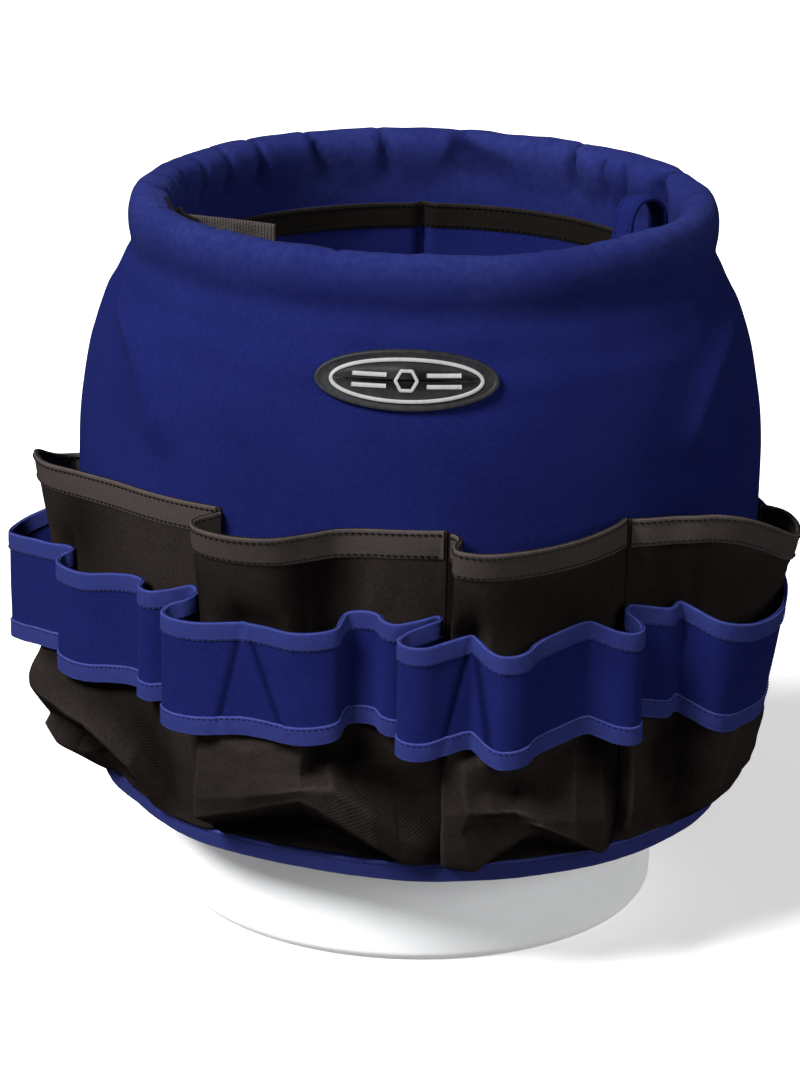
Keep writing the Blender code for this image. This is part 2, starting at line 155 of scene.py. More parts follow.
# How each front pocket folds below the strip: the places of the columns along its mouth line, then
# rows from the hem up to the strip, each of (angle, height in mm, mm off the skirt)
POCKET_FOLDS = {
    "outer_pocket_front_1": ((0, 1.6, 2.6, 3.4, 4.2, 5, 5.5, 6, 6.5, 7), [
        sewn_at(-92, -82, -78, -73, -68, -63, -59, -54.5, -50, -37.4),
        [(-92, 86, 2.5), (-81, 97, 28), (-79, 88, 25), (-75, 88, 17), (-67, 95, 8), (-61, 93, 6),
         (-57, 86, 4), (-54.5, 78, 3.5), (-50, 76, 3), (-37.4, 76, 2.5)],
        [(-92, 98, 2.5), (-81, 103, 23), (-76, 106, 17), (-69, 108, 10), (-61, 105, 9),
         (-56.5, 99, 8), (-55, 87, 6), (-54, 78, 4), (-50, 77, 3), (-37.2, 77, 2.5)],
        [(-92, 108, 2.5), (-81, 119, 31), (-69, 124, 27), (-60.5, 122, 23), (-55.5, 114, 19),
         (-52.5, 106, 16), (-52, 92, 11), (-52.5, 80, 7), (-49.5, 78, 4), (-37, 78, 2.5)],
        [(-92, 118, 2.5), (-81, 126, 31), (-72, 129, 25), (-62.5, 131, 18), (-56, 128, 12),
         (-51.5, 118, 8), (-48.5, 103, 5), (-46, 92, 4), (-44, 84, 3), (-36.5, 84, 2.5)],
        [(-92, 134, 2.5), (-81, 134, 28), (-76, 134, 24), (-66, 142, 15), (-59, 145, 8),
         (-53, 144, 4.5), (-48.5, 140, 3), (-45, 136, 3), (-41.5, 133, 2.8), (-36, 129, 2.5)]]),
    "outer_pocket_front_2": ((0, 2.7, 5.2, 6.6, 7.2, 7.8, 8.6, 9.4, 10), [
        sewn_at(-37, -35.5, -30, -20.5, -15, -10.5, -5.5, -1, 4.9),
        [(-37, 80, 2.5), (-37.5, 83, 6), (-28, 92, 5), (-19, 98, 6), (-14.5, 96, 6),
         (-10.5, 89.5, 5), (-5.5, 82, 4), (-1.5, 77.5, 3), (4.9, 76, 2.5)],
        [(-36.8, 88, 2.5), (-37.7, 91, 17), (-26.5, 105, 22), (-17.3, 116, 24), (-14.6, 113, 24),
         (-10.6, 103.5, 22), (-6, 91.5, 18), (-1.8, 80, 10), (4.8, 77, 2.5)],
        [(-36.6, 102, 2.5), (-36.5, 104, 19), (-26, 115, 25), (-17.3, 123, 26), (-15, 124.5, 25),
         (-12, 124, 24), (-7, 112, 20), (-2.3, 97, 13), (4.7, 82, 3)],
        [(-36.2, 118, 2.5), (-35.5, 120, 20), (-26, 128, 24), (-17.8, 129, 21), (-16.5, 128, 11),
         (-13.5, 130.5, 15), (-10.5, 126, 8), (-3.3, 120, 3.5), (4.6, 114, 2.5)],
        [(-35.7, 136, 2.5), (-35, 136.5, 20), (-26, 142, 23), (-18, 140, 17), (-16.7, 137, 8),
         (-14, 137, 7), (-10, 138, 4), (-3.5, 134, 3), (4.5, 136, 2.5)]]),
    "outer_pocket_front_3": ((0, 3, 4.7, 5.4, 6.1, 6.9, 7.7, 8.8, 10), [
        sewn_at(5.3, 7, 11, 15.5, 19, 22.7, 28, 32.5, 35.8),
        [(5.3, 77, 2.5), (5, 77, 6), (10.7, 76.5, 7), (15, 82.5, 5), (18, 87.5, 4), (21.5, 87, 4),
         (27, 81.5, 4), (32, 77, 4), (35.8, 77, 2.5)],
        [(5.2, 84, 2.5), (4.4, 82, 16), (9.3, 79, 19), (13.3, 89, 18), (16.4, 96.5, 18),
         (19.5, 101, 19), (25.3, 90.5, 17), (31, 79, 11), (35.8, 79, 3)],
        [(5.1, 99, 2.5), (4, 99, 19), (7, 101.5, 22), (10.5, 109.5, 20), (15.2, 109.5, 20),
         (19, 105, 25), (24.7, 94.5, 24), (30.4, 81, 18), (35.8, 81, 4)],
        [(5.0, 111, 2.5), (3.9, 111.5, 20), (7.7, 115, 27), (11, 115, 27), (15, 113.5, 24),
         (19.2, 108.5, 24), (24.3, 106, 25), (30, 101, 21), (35.8, 93, 4)],
        [(4.9, 124, 2.5), (3.9, 124, 20), (7.3, 126, 26), (11.5, 124, 21), (16, 118, 13),
         (20, 120.5, 17), (24.7, 121.5, 20), (30.3, 114.5, 16), (35.8, 106, 4)],
        [(4.9, 144, 2.5), (3.7, 144, 20), (7.2, 144, 24), (11, 141, 24), (15, 133.5, 18),
         (20, 133.5, 16), (25.7, 140, 12), (31.4, 134, 6), (35.8, 121, 3)]]),
    "outer_pocket_front_4": ((0, 0.7, 1.6, 2.3, 2.9, 3.7, 4.6, 6, 9), [
        sewn_at(36.2, 39, 43, 47.3, 50, 56, 63, 70, 85),
        [(36.2, 80, 3), (38, 81, 6), (42, 79, 3.5), (47, 78, 3), (49, 77.5, 4), (53, 78, 6),
         (60, 78, 7), (68, 80, 9), (85, 80, 2.5)],
        [(36.2, 88, 3), (37, 90, 10), (40, 87, 4), (45, 84, 2.5), (48, 84, 3), (51, 86, 10),
         (55, 88, 16), (67.5, 86, 12), (85, 88, 2.5)],
        [(36.2, 96, 3), (37, 100, 12), (39.5, 97.5, 6), (44.5, 92, 2.5), (49, 92, 3), (51, 97, 12),
         (54.5, 100.5, 21), (66, 95, 15), (85, 97, 2.5)],
        [(36.2, 107, 3), (37, 112.5, 12), (39.5, 112.5, 8), (44, 107, 2.5), (49.5, 104.5, 3),
         (51, 109, 13), (54.5, 111.5, 23), (64, 104, 20), (85, 107, 2.5)],
        [(36.2, 120, 3), (37, 125, 10), (39, 130, 9), (44, 130, 3), (49, 128, 5), (51, 126, 15),
         (55, 122, 24), (62, 114, 23), (85, 118, 2.5)]]),
}
BACK_POCKET_EDGES = (96.0, 264.0)
BACK_POCKET_LINE = [
    (0.0, 2.5), (0.03, 12), (0.15, 23), (0.35, 27), (0.65, 27), (0.85, 23), (0.97, 12), (1.0, 2.5),
]
BACK_SIDE_POCKET_LINE = [         # the two that start at a side seam lie flat next to it
    (0.0, 2.5), (0.12, 3.5), (0.25, 7), (0.42, 15), (0.62, 22), (0.85, 22), (0.97, 12), (1.0, 2.5),
]
BACK_POCKET_FOLDS = [             # whose folds each back pocket borrows, and if they are mirrored
    ("outer_pocket_front_1", True), ("outer_pocket_front_3", True), ("outer_pocket_front_2", True),
    ("outer_pocket_front_1", False),
]
BACK_POCKET_MOUTH = 0.251

# The strip of tool loops: how it runs round the front, as (angle, radius in mm)
FRONT_STRIP = [
    (-95.5, 188), (-95.8, 200), (-95, 214), (-91.5, 221), (-87, 215), (-82, 206.5), (-77, 199.5),
    (-72.5, 192.5), (-70.6, 192), (-70.7, 197), (-69.5, 201), (-65, 200.5), (-60.4, 196.5),
    (-56, 189.5), (-51.5, 185), (-49.2, 185.5), (-48.7, 189), (-46, 190), (-43, 185), (-39.8, 178.5),
    (-38, 181), (-38.4, 187), (-40.4, 193.5), (-40.4, 198.5), (-38.4, 201), (-34.9, 200.5),
    (-31.6, 198), (-27.2, 194), (-23, 194), (-18.9, 195.6), (-15, 193.6), (-12.3, 189), (-11.9, 183),
    (-11.4, 178.5), (-8.4, 176.5), (-6.4, 178), (-5.4, 182), (-3.5, 184.3), (0, 181.5), (3.4, 178.5),
    (3.6, 180.5), (1.4, 184), (-1.9, 190), (-2.8, 194.5), (-1.6, 198.5), (1.1, 199.3), (4, 195.6),
    (8.1, 191.8), (9, 195), (10, 201), (11.4, 205.4), (13.6, 206), (15.6, 203.5), (17.2, 198.8),
    (21, 193.4), (27, 189), (28.4, 192.5), (30.4, 198.6), (32.6, 201.4), (34.4, 199.5), (34.8, 194),
    (34.2, 187), (35.4, 183.6), (38, 186.5), (42, 191.5), (44.6, 189.5), (45.6, 195), (47.4, 208),
    (51, 215.5), (55.5, 218), (60.5, 216), (66, 210), (70, 204), (72.2, 199.5),
    (74.5, 199.5), (77.5, 200.5), (82, 198), (86, 191.5), (88.2, 186),
]
BACK_LOOPS = 8
BACK_LOOP_EDGES = (88.2, 264.5)
BACK_LOOP_SHAPE = [               # share of the loop's width, share of how far it stands out
    (0.03, 0), (0.07, 0.5), (0.25, 0.96), (0.5, 1), (0.75, 0.88), (0.93, 0.46), (0.97, 0),
]
STRIP_TOP = 0.211              # height of its top edge at the radius STRIP_DROOP_FROM
STRIP_DROOP = 0.45             # and how much lower that edge is for each metre further out
STRIP_DROOP_FROM = 0.175
STRIP_HEIGHT = 0.060
STRIP_ROWS = 31
STRIP_TAPE = 10.5 * MM
STRIP_LEAN = 11 * MM           # at the right its lower edge leans in by this much
STRIP_OVER_POCKET = 1.6 * MM   # the strip's cloth lies this far over the pocket's
STRIP_CREASES = [              # pressed creases across two loops: angle at the top and at the bottom
    (-26.9, -30.8), (-26.5, -19.4), (8.0, 3.4), (8.4, 10.6),
]

# Badge
BADGE_ANGLE = -2.7
BADGE_HEIGHT = 0.3265
BADGE_HALF_SIZE = (0.0445, 0.0145)
BADGE_BASE = COVER_CLOTH / MM / 2        # mm from the middle of the cover's cloth to its outside
BADGE_SECTION = [                        # share of the half size, mm above the cloth
    (0.97, 0), (1.0, 0.8), (1.0, 2.0), (0.975, 2.5), (0.93, 2.7), (0.88, 2.6), (0.845, 2.1),
    (0.82, 1.9), (0.5, 2.0), (0.05, 2.0),
]
EMBLEM_LOW, EMBLEM_HIGH = BADGE_BASE + 1.6, BADGE_BASE + 2.7
EMBLEM_RING = (0.0362, 0.0098)
EMBLEM_NUT = 0.0052

# Inside: the liner's pockets, the webbing's end and the tie strap
LINER_POCKET_BOTTOM = 0.205
LINER_POCKET_TOP = 0.347
LINER_POCKET_TAPE = 14 * MM
LINER_POCKET_REACH = 68.0      # degrees to each side of its middle
TAB_PATH = [
    (-0.1315, -0.0232), (-0.1260, -0.0459), (-0.1143, -0.0660), (-0.0973, -0.0816), (-0.0748, -0.0957),
]
TAB_TOPS = (0.380, 0.387)      # height of its upper edge at the fixed end and at the free end
TAB_WIDTH = 0.025
RIB = 2.0 * MM
SLIT_TAPE_WIDTH = 12 * MM
TIE_FOOT = (0.112, -0.045, 0.354)
TIE_TURN = math.radians(40.0)
TIE_WIDTH = 13 * MM
TIE_OUTLINE = [                # (across, up)
    (-0.017, 0.0), (-0.0135, 0.020), (-0.0105, 0.033), (-0.005, 0.0375), (0.004, 0.0375),
    (0.0105, 0.031), (0.0115, 0.020), (0.008, 0.008), (0.006, 0.0),
]

# Lights as (name, power, spread in degrees, place), and how much the floor and the sky give
LAMPS = [
    ("key_lamp", 6.0, 22.0, (-1.30, -0.95, 1.65)),
    ("fill_lamp", 1.05, 30.0, (1.0, -1.0, 0.52)),
]
FLOOR_GLOW = 0.40
SKY_GLOW = 0.20

# Camera
CAMERA_PLACE = (-0.0096, -2.0003, 0.8494)
CAMERA_PITCH = 18.337
CAMERA_ROLL = 0.9475
CAMERA_LENS = 128.36


# ---------------------------------------------------------------- numbers and curves

def smooth_step(value):
    """From 0 to 1 with a soft start and end."""
    value = np.clip(value, 0.0, 1.0)
    return value * value * (3.0 - 2.0 * value)


def bump(value, centre, width):
    """A round hill of height 1 about a centre."""
    return np.exp(-((value - centre) / width) ** 2)


def polar(angle, radius, height):
    """Points from cylinder coordinates, with angles in degrees."""
    turn = np.radians(angle)
    return np.stack(np.broadcast_arrays(radius * np.sin(turn), -radius * np.cos(turn), height), -1)


def wrapped(angle):
    """The same angle from -180 to 180 degrees."""
    return (np.asarray(angle) + 180.0) % 360.0 - 180.0


def angle_of(points):
    return np.degrees(np.arctan2(points[..., 0], -points[..., 1]))


def radius_of(points):
    return np.hypot(points[..., 0], points[..., 1])


def noise(points, size, seed):
    """Smooth noise from -1 to 1, with hills about one size apart."""
    cells = 32
    table = np.random.default_rng(seed).uniform(-1.0, 1.0, (cells, cells, cells))
    place = np.asarray(points) / size + 100.0
    low = np.floor(place).astype(int)
    share = smooth_step(place - low)
    total = 0.0
    for corner in np.ndindex(2, 2, 2):
        weight = np.prod(np.where(corner, share, 1.0 - share), axis=-1)
        x, y, z = np.moveaxis((low + corner) % cells, -1, 0)
        total = total + weight * table[x, y, z]
    return total


def along(line):
    """Length along a line of points, from its start."""
    steps = np.linalg.norm(np.diff(line, axis=0), axis=1)
    return np.concatenate([[0.0], np.cumsum(steps)])


def resample(line, count):
    """The same line with evenly spaced points."""
    length = along(line)
    places = np.linspace(0.0, length[-1], count)
    return np.stack([np.interp(places, length, line[:, axis]) for axis in range(line.shape[1])], -1)


def spline(points, count):
    """Evenly spaced points on a centripetal Catmull-Rom curve through the points."""
    points = np.asarray(points, float)
    ends = [2 * points[0] - points[1]], points, [2 * points[-1] - points[-2]]
    full = np.vstack(ends)
    knots = np.concatenate([[0.0], np.cumsum(np.linalg.norm(np.diff(full, axis=0), axis=1) ** 0.5)])
    places = np.linspace(knots[1], knots[-2], 24 * len(points))
    index = np.clip(np.searchsorted(knots, places, "right") - 1, 1, len(points) - 1)

    def mix(start, end, low, high):
        share = ((places - knots[low]) / (knots[high] - knots[low]))[:, None]
        return start * (1.0 - share) + end * share

    p = [full[index + step] for step in (-1, 0, 1, 2)]
    k = [index + step for step in (-1, 0, 1, 2)]
    a = [mix(p[step], p[step + 1], k[step], k[step + 1]) for step in range(3)]
    b = [mix(a[step], a[step + 1], k[step], k[step + 2]) for step in range(2)]
    return resample(mix(b[0], b[1], k[1], k[2]), count)


def normals_of(grid):
    """Unit normals of a grid, towards the outside where columns run right and rows run up."""
    across = np.gradient(grid, axis=1)
    up = np.gradient(grid, axis=0)
    normal = np.cross(across, up)
    return normal / np.maximum(np.linalg.norm(normal, axis=-1, keepdims=True), 1e-12)


# ---------------------------------------------------------------- meshes

def mesh_object(name, points, faces, uvs, painted_highlight=None, painted_shade=None):
    """An object from points and quads. uvs has one pair for each point, in metres on the cloth."""
    mesh = bpy.data.meshes.new(name)
    mesh.from_pydata([tuple(point) for point in points], [], [tuple(face) for face in faces])
    layer = mesh.uv_layers.new(name="UVMap")
    corners = np.empty(len(mesh.loops), dtype=np.int64)
    mesh.loops.foreach_get("vertex_index", corners)
    layer.data.foreach_set("uv", np.asarray(uvs, np.float32)[corners].ravel())
    # Stores the painted highlight and the painted shade as point attributes for the fabric's material.
    for kind, values in (("painted_highlight", painted_highlight), ("painted_shade", painted_shade)):
        if values is not None:
            attribute = mesh.attributes.new(kind, "FLOAT", "POINT")
            attribute.data.foreach_set("value", np.asarray(values, np.float32).ravel())
    mesh.shade_smooth()
    item = bpy.data.objects.new(name, mesh)
    bpy.context.scene.collection.objects.link(item)
    return item


def quads(rows, columns, closed=False, looped=False):
    """Faces of a grid of points whose rows may close into rings, and its columns into loops."""
    index = np.arange(rows * columns).reshape(rows, columns)
    if looped:
        index = np.vstack([index, index[:1]])
    if closed:
        index = np.hstack([index, index[:, :1]])
    return np.stack([index[:-1, :-1], index[:-1, 1:], index[1:, 1:], index[1:, :-1]], -1).reshape(-1, 4)


def cloth_uvs(grid):
    """Places on the flat cloth, in metres across and up, of each point of a grid."""
    across = np.linalg.norm(np.diff(grid, axis=1), axis=-1).mean(axis=0).cumsum()
    up = np.linalg.norm(np.diff(grid, axis=0), axis=-1).mean(axis=1).cumsum()
    across = np.append(0.0, across) - across[-1] / 2
    up = np.append(0.0, up)
    return np.stack(np.broadcast_arrays(across[None, :], up[:, None]), -1)


def bend_highlight_of(grid):
    """Painted highlight from 0 to 1 where the cloth bends sharply outwards, as along a fold."""
    normal = normals_of(grid)
    pull = np.zeros(grid.shape[:2])
    for axis in (0, 1):
        step = np.gradient(np.gradient(grid, axis=axis), axis=axis)
        size = np.maximum((np.gradient(grid, axis=axis) ** 2).sum(-1), 1e-10)
        pull += np.maximum(-(step * normal).sum(-1) / size, 0.0)
    return np.clip(pull / 900.0 - 0.1, 0.0, 0.8)


def finish_piece(item, material, body, nodes):
    """Gives a piece its material, its body and the CAD nodes that it stands for."""
    item.data.materials.append(material)
    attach(item, body)
    if nodes:
        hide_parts(*nodes)
    return item


def recess_shade_of(depth):
    """From 0 to 1 where a cloth lies much deeper than the folds around it: painted shade in the recesses.
    """
    reach = 9
    highest = depth.copy()
    for axis in (0, 1):
        padding = [(reach, reach) if one == axis else (0, 0) for one in (0, 1)]
        wide = np.pad(highest, padding, mode="edge")
        count = depth.shape[axis]
        shifted = [wide.take(range(shift, shift + count), axis) for shift in range(2 * reach + 1)]
        highest = np.max(shifted, axis=0)
    return smooth_step((highest - depth - 4 * MM) / (14 * MM))


def cloth(name, grid, thickness, material, nodes=(), body=LIFTED, smooth=0, painted_shade=None,
          crest_highlight=0.0):
    """A sheet of cloth from a grid of points."""
    rows, columns = grid.shape[:2]
    # Painted highlight from convex bends and from the roll's crest; painted shade from the given mask.
    item = mesh_object(name, grid.reshape(-1, 3), quads(rows, columns),
                       cloth_uvs(grid).reshape(-1, 2), np.maximum(bend_highlight_of(grid), crest_highlight), painted_shade)
    if smooth:
        fine = item.modifiers.new("smooth folds", "SUBSURF")
        fine.levels = smooth
        fine.render_levels = smooth
    solid = item.modifiers.new("cloth thickness", "SOLIDIFY")
    solid.thickness = thickness
    solid.offset = 0.0
    return finish_piece(item, material, body, nodes)


def swept(name, rings, ring_uvs, material, nodes=(), painted_highlight=None):
    """A closed solid through rings of points, with flat ends."""
    count, around = rings.shape[:2]
    faces = [tuple(face) for face in quads(count, around, closed=True)]
    faces.append(tuple(range(around)))
    faces.append(tuple(range(count * around - 1, (count - 1) * around - 1, -1)))
    item = mesh_object(name, rings.reshape(-1, 3), [face[::-1] for face in faces],
                       ring_uvs.reshape(-1, 2), painted_highlight)
    return finish_piece(item, material, LIFTED, nodes)


def tape_section():
    """A tape folded over an edge, as (share of its height, share of half its thickness)."""
    heights = [0.0, 0.03, 0.10, 0.25, 0.40, 0.55, 0.70, 0.85, 0.95]
    lift = [0.55, 0.95, 1.0, 1.05, 1.08, 1.08, 1.05, 1.0, 1.0]
    outer = list(zip(heights, lift))
    inner = [(height, -depth) for height, depth in reversed(outer)]
    top = [(0.95 + 0.05 * math.sin(turn), math.cos(turn)) for turn in np.linspace(0.0, math.pi, 7)[1:-1]]
    return outer + top + inner


def tape(name, grid, thickness, material, nodes, seed):
    """Binding tape folded over the upper or lower edge of a strip of points, two or more rows."""
    pucker = 0.12 * MM
    bottom, top = grid[0], grid[-1]
    normal = normals_of(np.stack([bottom, top]))[0]
    length = along(bottom)
    rings, ring_uvs, painted_highlight = [], [], []
    for height, lift in tape_section():
        line = bottom + (top - bottom) * height
        ripple = pucker * (noise(line, 5 * MM, seed) + 0.7 * noise(line, 2.6 * MM, seed + 1))
        away = thickness / 2 * lift + ripple * np.sign(lift) * smooth_step(height * 6.0)
        rings.append(line + normal * np.atleast_1d(away)[:, None])
        ring_uvs.append(np.stack([length, np.full_like(length, height * 0.02 + (lift < 0) * 0.03)], -1))
        # Painted highlight along the tape's folded edges.
        edge = 1.0 - min(height, 1.0 - height) * 8.0
        painted_highlight.append(np.full(len(length), max(0.0, edge)))
    return swept(name, np.stack(rings, 1), np.stack(ring_uvs, 1), material, nodes,
                 painted_highlight=np.stack(painted_highlight, 1))


class Stitching:
    """Rows of stitches, gathered into one mesh."""

    SIDES = 6
    # Rings along a stitch, as (place along it, thickness, height): a share of its length, then
    # shares of its width
    STATIONS = [(-0.5, 0.25, -0.5), (-0.42, 0.8, 0.2), (-0.2, 1.0, 0.6), (0.2, 1.0, 0.6),
                (0.42, 0.8, 0.2), (0.5, 0.25, -0.5)]

    def __init__(self):
        self.points = []
        self.faces = []
        self.count = 0

    def row(self, line, normal, pitch=3.3 * MM, length=2.6 * MM, width=0.8 * MM):
        """Stitches along a line. Each lies on the cloth and dips into it at both ends."""
        distance = along(line)
        places = np.arange(pitch / 2, distance[-1] - pitch / 2, pitch)
        if not len(places):
            return

        def at(values, where):
            return np.stack([np.interp(where, distance, values[:, axis]) for axis in range(3)], -1)

        forward = at(line, places + 0.4 * MM) - at(line, places - 0.4 * MM)
        forward /= np.maximum(np.linalg.norm(forward, axis=1, keepdims=True), 1e-9)
        lift = at(normal, places)
        lift /= np.maximum(np.linalg.norm(lift, axis=1, keepdims=True), 1e-9)
        side = np.cross(lift, forward)
        turns = np.linspace(0.0, math.tau, self.SIDES, endpoint=False)
        rings = []
        for place, fat, rise in self.STATIONS:
            centre = at(line, places + place * length) + lift * (rise * width / 2)
            for turn in turns:
                away = side * math.cos(turn) + lift * math.sin(turn)
                rings.append(centre + away * (fat * width / 2))
        block = np.stack(rings, 1)
        stations, around = len(self.STATIONS), self.SIDES
        pattern = [tuple(face) for face in quads(stations, around, closed=True)]
        pattern.append(tuple(range(around))[::-1])
        pattern.append(tuple(range((stations - 1) * around, stations * around)))
        for index in range(len(places)):
            start = self.count + index * stations * around
            self.faces += [tuple(start + corner for corner in face[::-1]) for face in pattern]
        self.points.append(block.reshape(-1, 3))
        self.count += len(block) * stations * around

    def make(self, name, material, body=LIFTED):
        """One piece of all the rows so far."""
        points = np.concatenate(self.points)
        uvs = np.stack([points[:, 0] + points[:, 1], points[:, 2]], -1)
        return finish_piece(mesh_object(name, points, self.faces, uvs), material, body, ())


def grid_line(grid, share):
    """The line across a grid at a share of its rows, and its normals."""
    place = share * (len(grid) - 1)
    low = min(int(place), len(grid) - 2)
    part = place - low
    normal = normals_of(grid)
    return (grid[low] * (1 - part) + grid[low + 1] * part,
            normal[low] * (1 - part) + normal[low + 1] * part)


def stitch_tape(stitching, grid, thickness, shares=(0.13, 0.86), **kind):
    """Rows of stitches along a tape, at shares of its height, on its outside and inside."""
    for share in shares:
        line, normal = grid_line(grid, share)
        for side in (1, -1):
            stitching.row(line + normal * (side * thickness * 1.1 / 2 * 1.02), normal * side, **kind)


# ---------------------------------------------------------------- materials

class Shader:
    """Builds one Principled material from nodes."""

    def __init__(self, name, roughness, sheen=0.0, sheen_tint=(1, 1, 1), specular=0.5):
        self.material = bpy.data.materials.new(name)
        self.material.use_nodes = True
        self.surface = self.material.node_tree.nodes["Principled BSDF"]
        self.fill(self.surface, {
            "Roughness": roughness, "Sheen Weight": sheen, "Sheen Roughness": 0.45,
            "Sheen Tint": (*sheen_tint, 1.0), "Specular IOR Level": specular})

    def fill(self, node, sockets):
        """Sets a node's sockets, by name or number, or links them to another node's output."""
        for key, value in sockets.items():
            if isinstance(value, bpy.types.NodeSocket):
                self.material.node_tree.links.new(value, node.inputs[key])
            else:
                node.inputs[key].default_value = value

    def node(self, kind, output, sockets=(), **settings):
        """Adds a node and gives one of its outputs."""
        made = self.material.node_tree.nodes.new("ShaderNode" + kind)
        for key, value in settings.items():
            setattr(made, key, value)
        self.fill(made, dict(sockets))
        return made.outputs[output]

    def bands(self, pitch, turn, distortion=0.0):
        """Stripes a pitch apart, in metres along the cloth, turned by some degrees."""
        flat = self.node("UVMap", "UV", uv_map="UVMap")
        turned = self.node("Mapping", "Vector", {
            "Rotation": (0.0, 0.0, math.radians(turn)), "Vector": flat})
        return self.node("TexWave", "Fac", {
            "Scale": math.pi / 10 / pitch, "Distortion": distortion, "Detail Scale": 1.5,
            "Vector": turned}, wave_type="BANDS", bands_direction="X")

    def cloud(self, size, detail=3.0):
        """Soft spots about one size across."""
        place = self.node("TexCoord", "Object")
        return self.node("TexNoise", "Fac", {"Scale": 1.0 / size, "Detail": detail, "Vector": place})

    def product(self, first, second):
        return self.node("Math", 0, {0: first, 1: second}, operation="MULTIPLY")

    def blend(self, first, second, share):
        """Two values added up, of which the first has this share."""
        parts = self.product(first, share), self.product(second, round(1.0 - share, 2))
        return self.node("Math", 0, dict(enumerate(parts)), operation="ADD")

    def ramp(self, value, low, high, colours):
        """From the first colour at low to the second at high."""
        made = self.node("ValToRGB", "Color", {"Fac": value})
        for element, place, colour in zip(made.node.color_ramp.elements, (low, high), colours):
            element.position = place
            element.color = (*colour, 1.0)
        return made

    def mix(self, share, first, second):
        """From the first colour to the second, which is a plain one, by a share."""
        factor, colour_a, colour_b, result = 0, 6, 7, 2      # the node's sockets for colours
        return self.node("Mix", result, {factor: share, colour_a: first, colour_b: (*second, 1.0)},
                         data_type="RGBA")

    def colour(self, value):
        self.fill(self.surface, {"Base Color": value})

    def bump(self, height, distance):
        normal = self.node("Bump", "Normal", {"Distance": distance, "Height": height})
        self.fill(self.surface, {"Normal": normal})

    def roughness(self, value, low, high):
        spread = self.node("MapRange", "Result", {"Value": value, "To Min": low, "To Max": high})
        self.fill(self.surface, {"Roughness": spread})


def fabric(name, dark, light, painted_highlight, pitch=1.1 * MM, turn=52.0, sheen=0.0, tint=(1, 1, 1),
           relief=0.07 * MM):
    """Twill: diagonal ridges crossed by finer threads, mottled, with a painted highlight on convex bends
    and edges and painted shade in recesses.
    """
    roughness = 0.75
    made = Shader(name, roughness, sheen, tint, 0.0)
    weave = made.blend(made.bands(pitch, turn, 0.15), made.bands(pitch * 0.6, turn - 90.0, 0.3), 0.7)
    mottle = made.blend(made.cloud(0.045), made.cloud(0.0016, 2.0), 0.4)
    base = made.ramp(made.blend(weave, mottle, 0.36), 0.22, 0.80, (dark, light))
    # Painted highlight on convex bends and edges, mottled.
    highlight_share = made.node("Attribute", "Fac", attribute_name="painted_highlight")
    highlighted = made.mix(made.product(highlight_share, made.product(made.cloud(0.004), 0.9)), base, painted_highlight)
    # Painted shade in recesses and creases, darkening towards a quarter of the dark colour.
    painted_shade = made.node("Attribute", "Fac", attribute_name="painted_shade")
    shade_colour = [0.25 * one for one in dark]
    made.colour(made.mix(made.product(painted_shade, 0.85), highlighted, shade_colour))
    made.bump(weave, relief)
    made.roughness(mottle, roughness - 0.08, roughness + 0.1)
    return made.material


def webbing_cloth(name, dark, light):
    """Ribbed webbing with a fine weave across the ribs."""
    made = Shader(name, 0.7, specular=0.03)
    weave = made.blend(made.bands(RIB, 0.0), made.bands(0.7 * MM, 90.0, 0.5), 0.5)
    mottle = made.blend(weave, made.cloud(0.003), 0.7)
    made.colour(made.ramp(mottle, 0.2, 0.85, (dark, light)))
    made.bump(weave, 0.3 * MM)
    return made.material


def thread(name, dark, light):
    """Sewing thread with a twist."""
    made = Shader(name, 0.55, sheen=0.02, specular=0.06)
    made.colour(made.ramp(made.cloud(0.0009, 2.0), 0.3, 0.75, (dark, light)))
    made.bump(made.cloud(0.0004, 1.0), 0.05 * MM)
    return made.material


def moulded(name, dark, light, roughness, grain, relief, specular=0.5):
    """Moulded plastic or rubber with a fine grain and faint scuffs."""
    made = Shader(name, roughness, specular=specular)
    scuffs = made.product(made.cloud(0.02), made.cloud(0.0025))
    made.colour(made.ramp(scuffs, 0.1, 0.42, (dark, light)))
    made.bump(made.cloud(grain, 2.0), relief)
    made.roughness(made.cloud(0.012), roughness - 0.07, roughness + 0.1)
    return made.material


# Each fabric: the dark and light weave colours, then the colour of its painted highlight.
NAVY = fabric("navy_twill", (0.0042, 0.0064, 0.048), (0.0118, 0.0160, 0.104), (0.032, 0.042, 0.17),
              sheen=0.015, tint=(0.5, 0.62, 1.0))
BLUE_TAPE = fabric("blue_tape", (0.0170, 0.0220, 0.108), (0.0290, 0.0370, 0.165), (0.065, 0.083, 0.28),
                   pitch=0.8 * MM, turn=90.0, sheen=0.015, tint=(0.5, 0.6, 1.0), relief=0.10 * MM)
DARK = fabric("dark_twill", (0.0060, 0.0047, 0.0042), (0.0300, 0.0238, 0.0215), (0.055, 0.045, 0.041),
              tint=(1.0, 0.92, 0.86))
DARK_TAPE = fabric("dark_tape", (0.0350, 0.0280, 0.0262), (0.0580, 0.0468, 0.0440), (0.095, 0.078, 0.073),
                   pitch=0.8 * MM, turn=90.0, relief=0.10 * MM)
BLACK_TAPE = fabric("black_tape", (0.0050, 0.0040, 0.0036), (0.0130, 0.0105, 0.0095), (0.030, 0.026, 0.023),
                    pitch=0.9 * MM, turn=90.0, relief=0.10 * MM)
BLACK_THREAD = thread("black_thread", (0.0010, 0.0009, 0.0009), (0.0030, 0.0025, 0.0025))
BLUE_THREAD = thread("blue_thread", (0.0045, 0.0062, 0.045), (0.0080, 0.0110, 0.075))
WEBBING = webbing_cloth("webbing", (0.0100, 0.0080, 0.0080), (0.085, 0.072, 0.070))
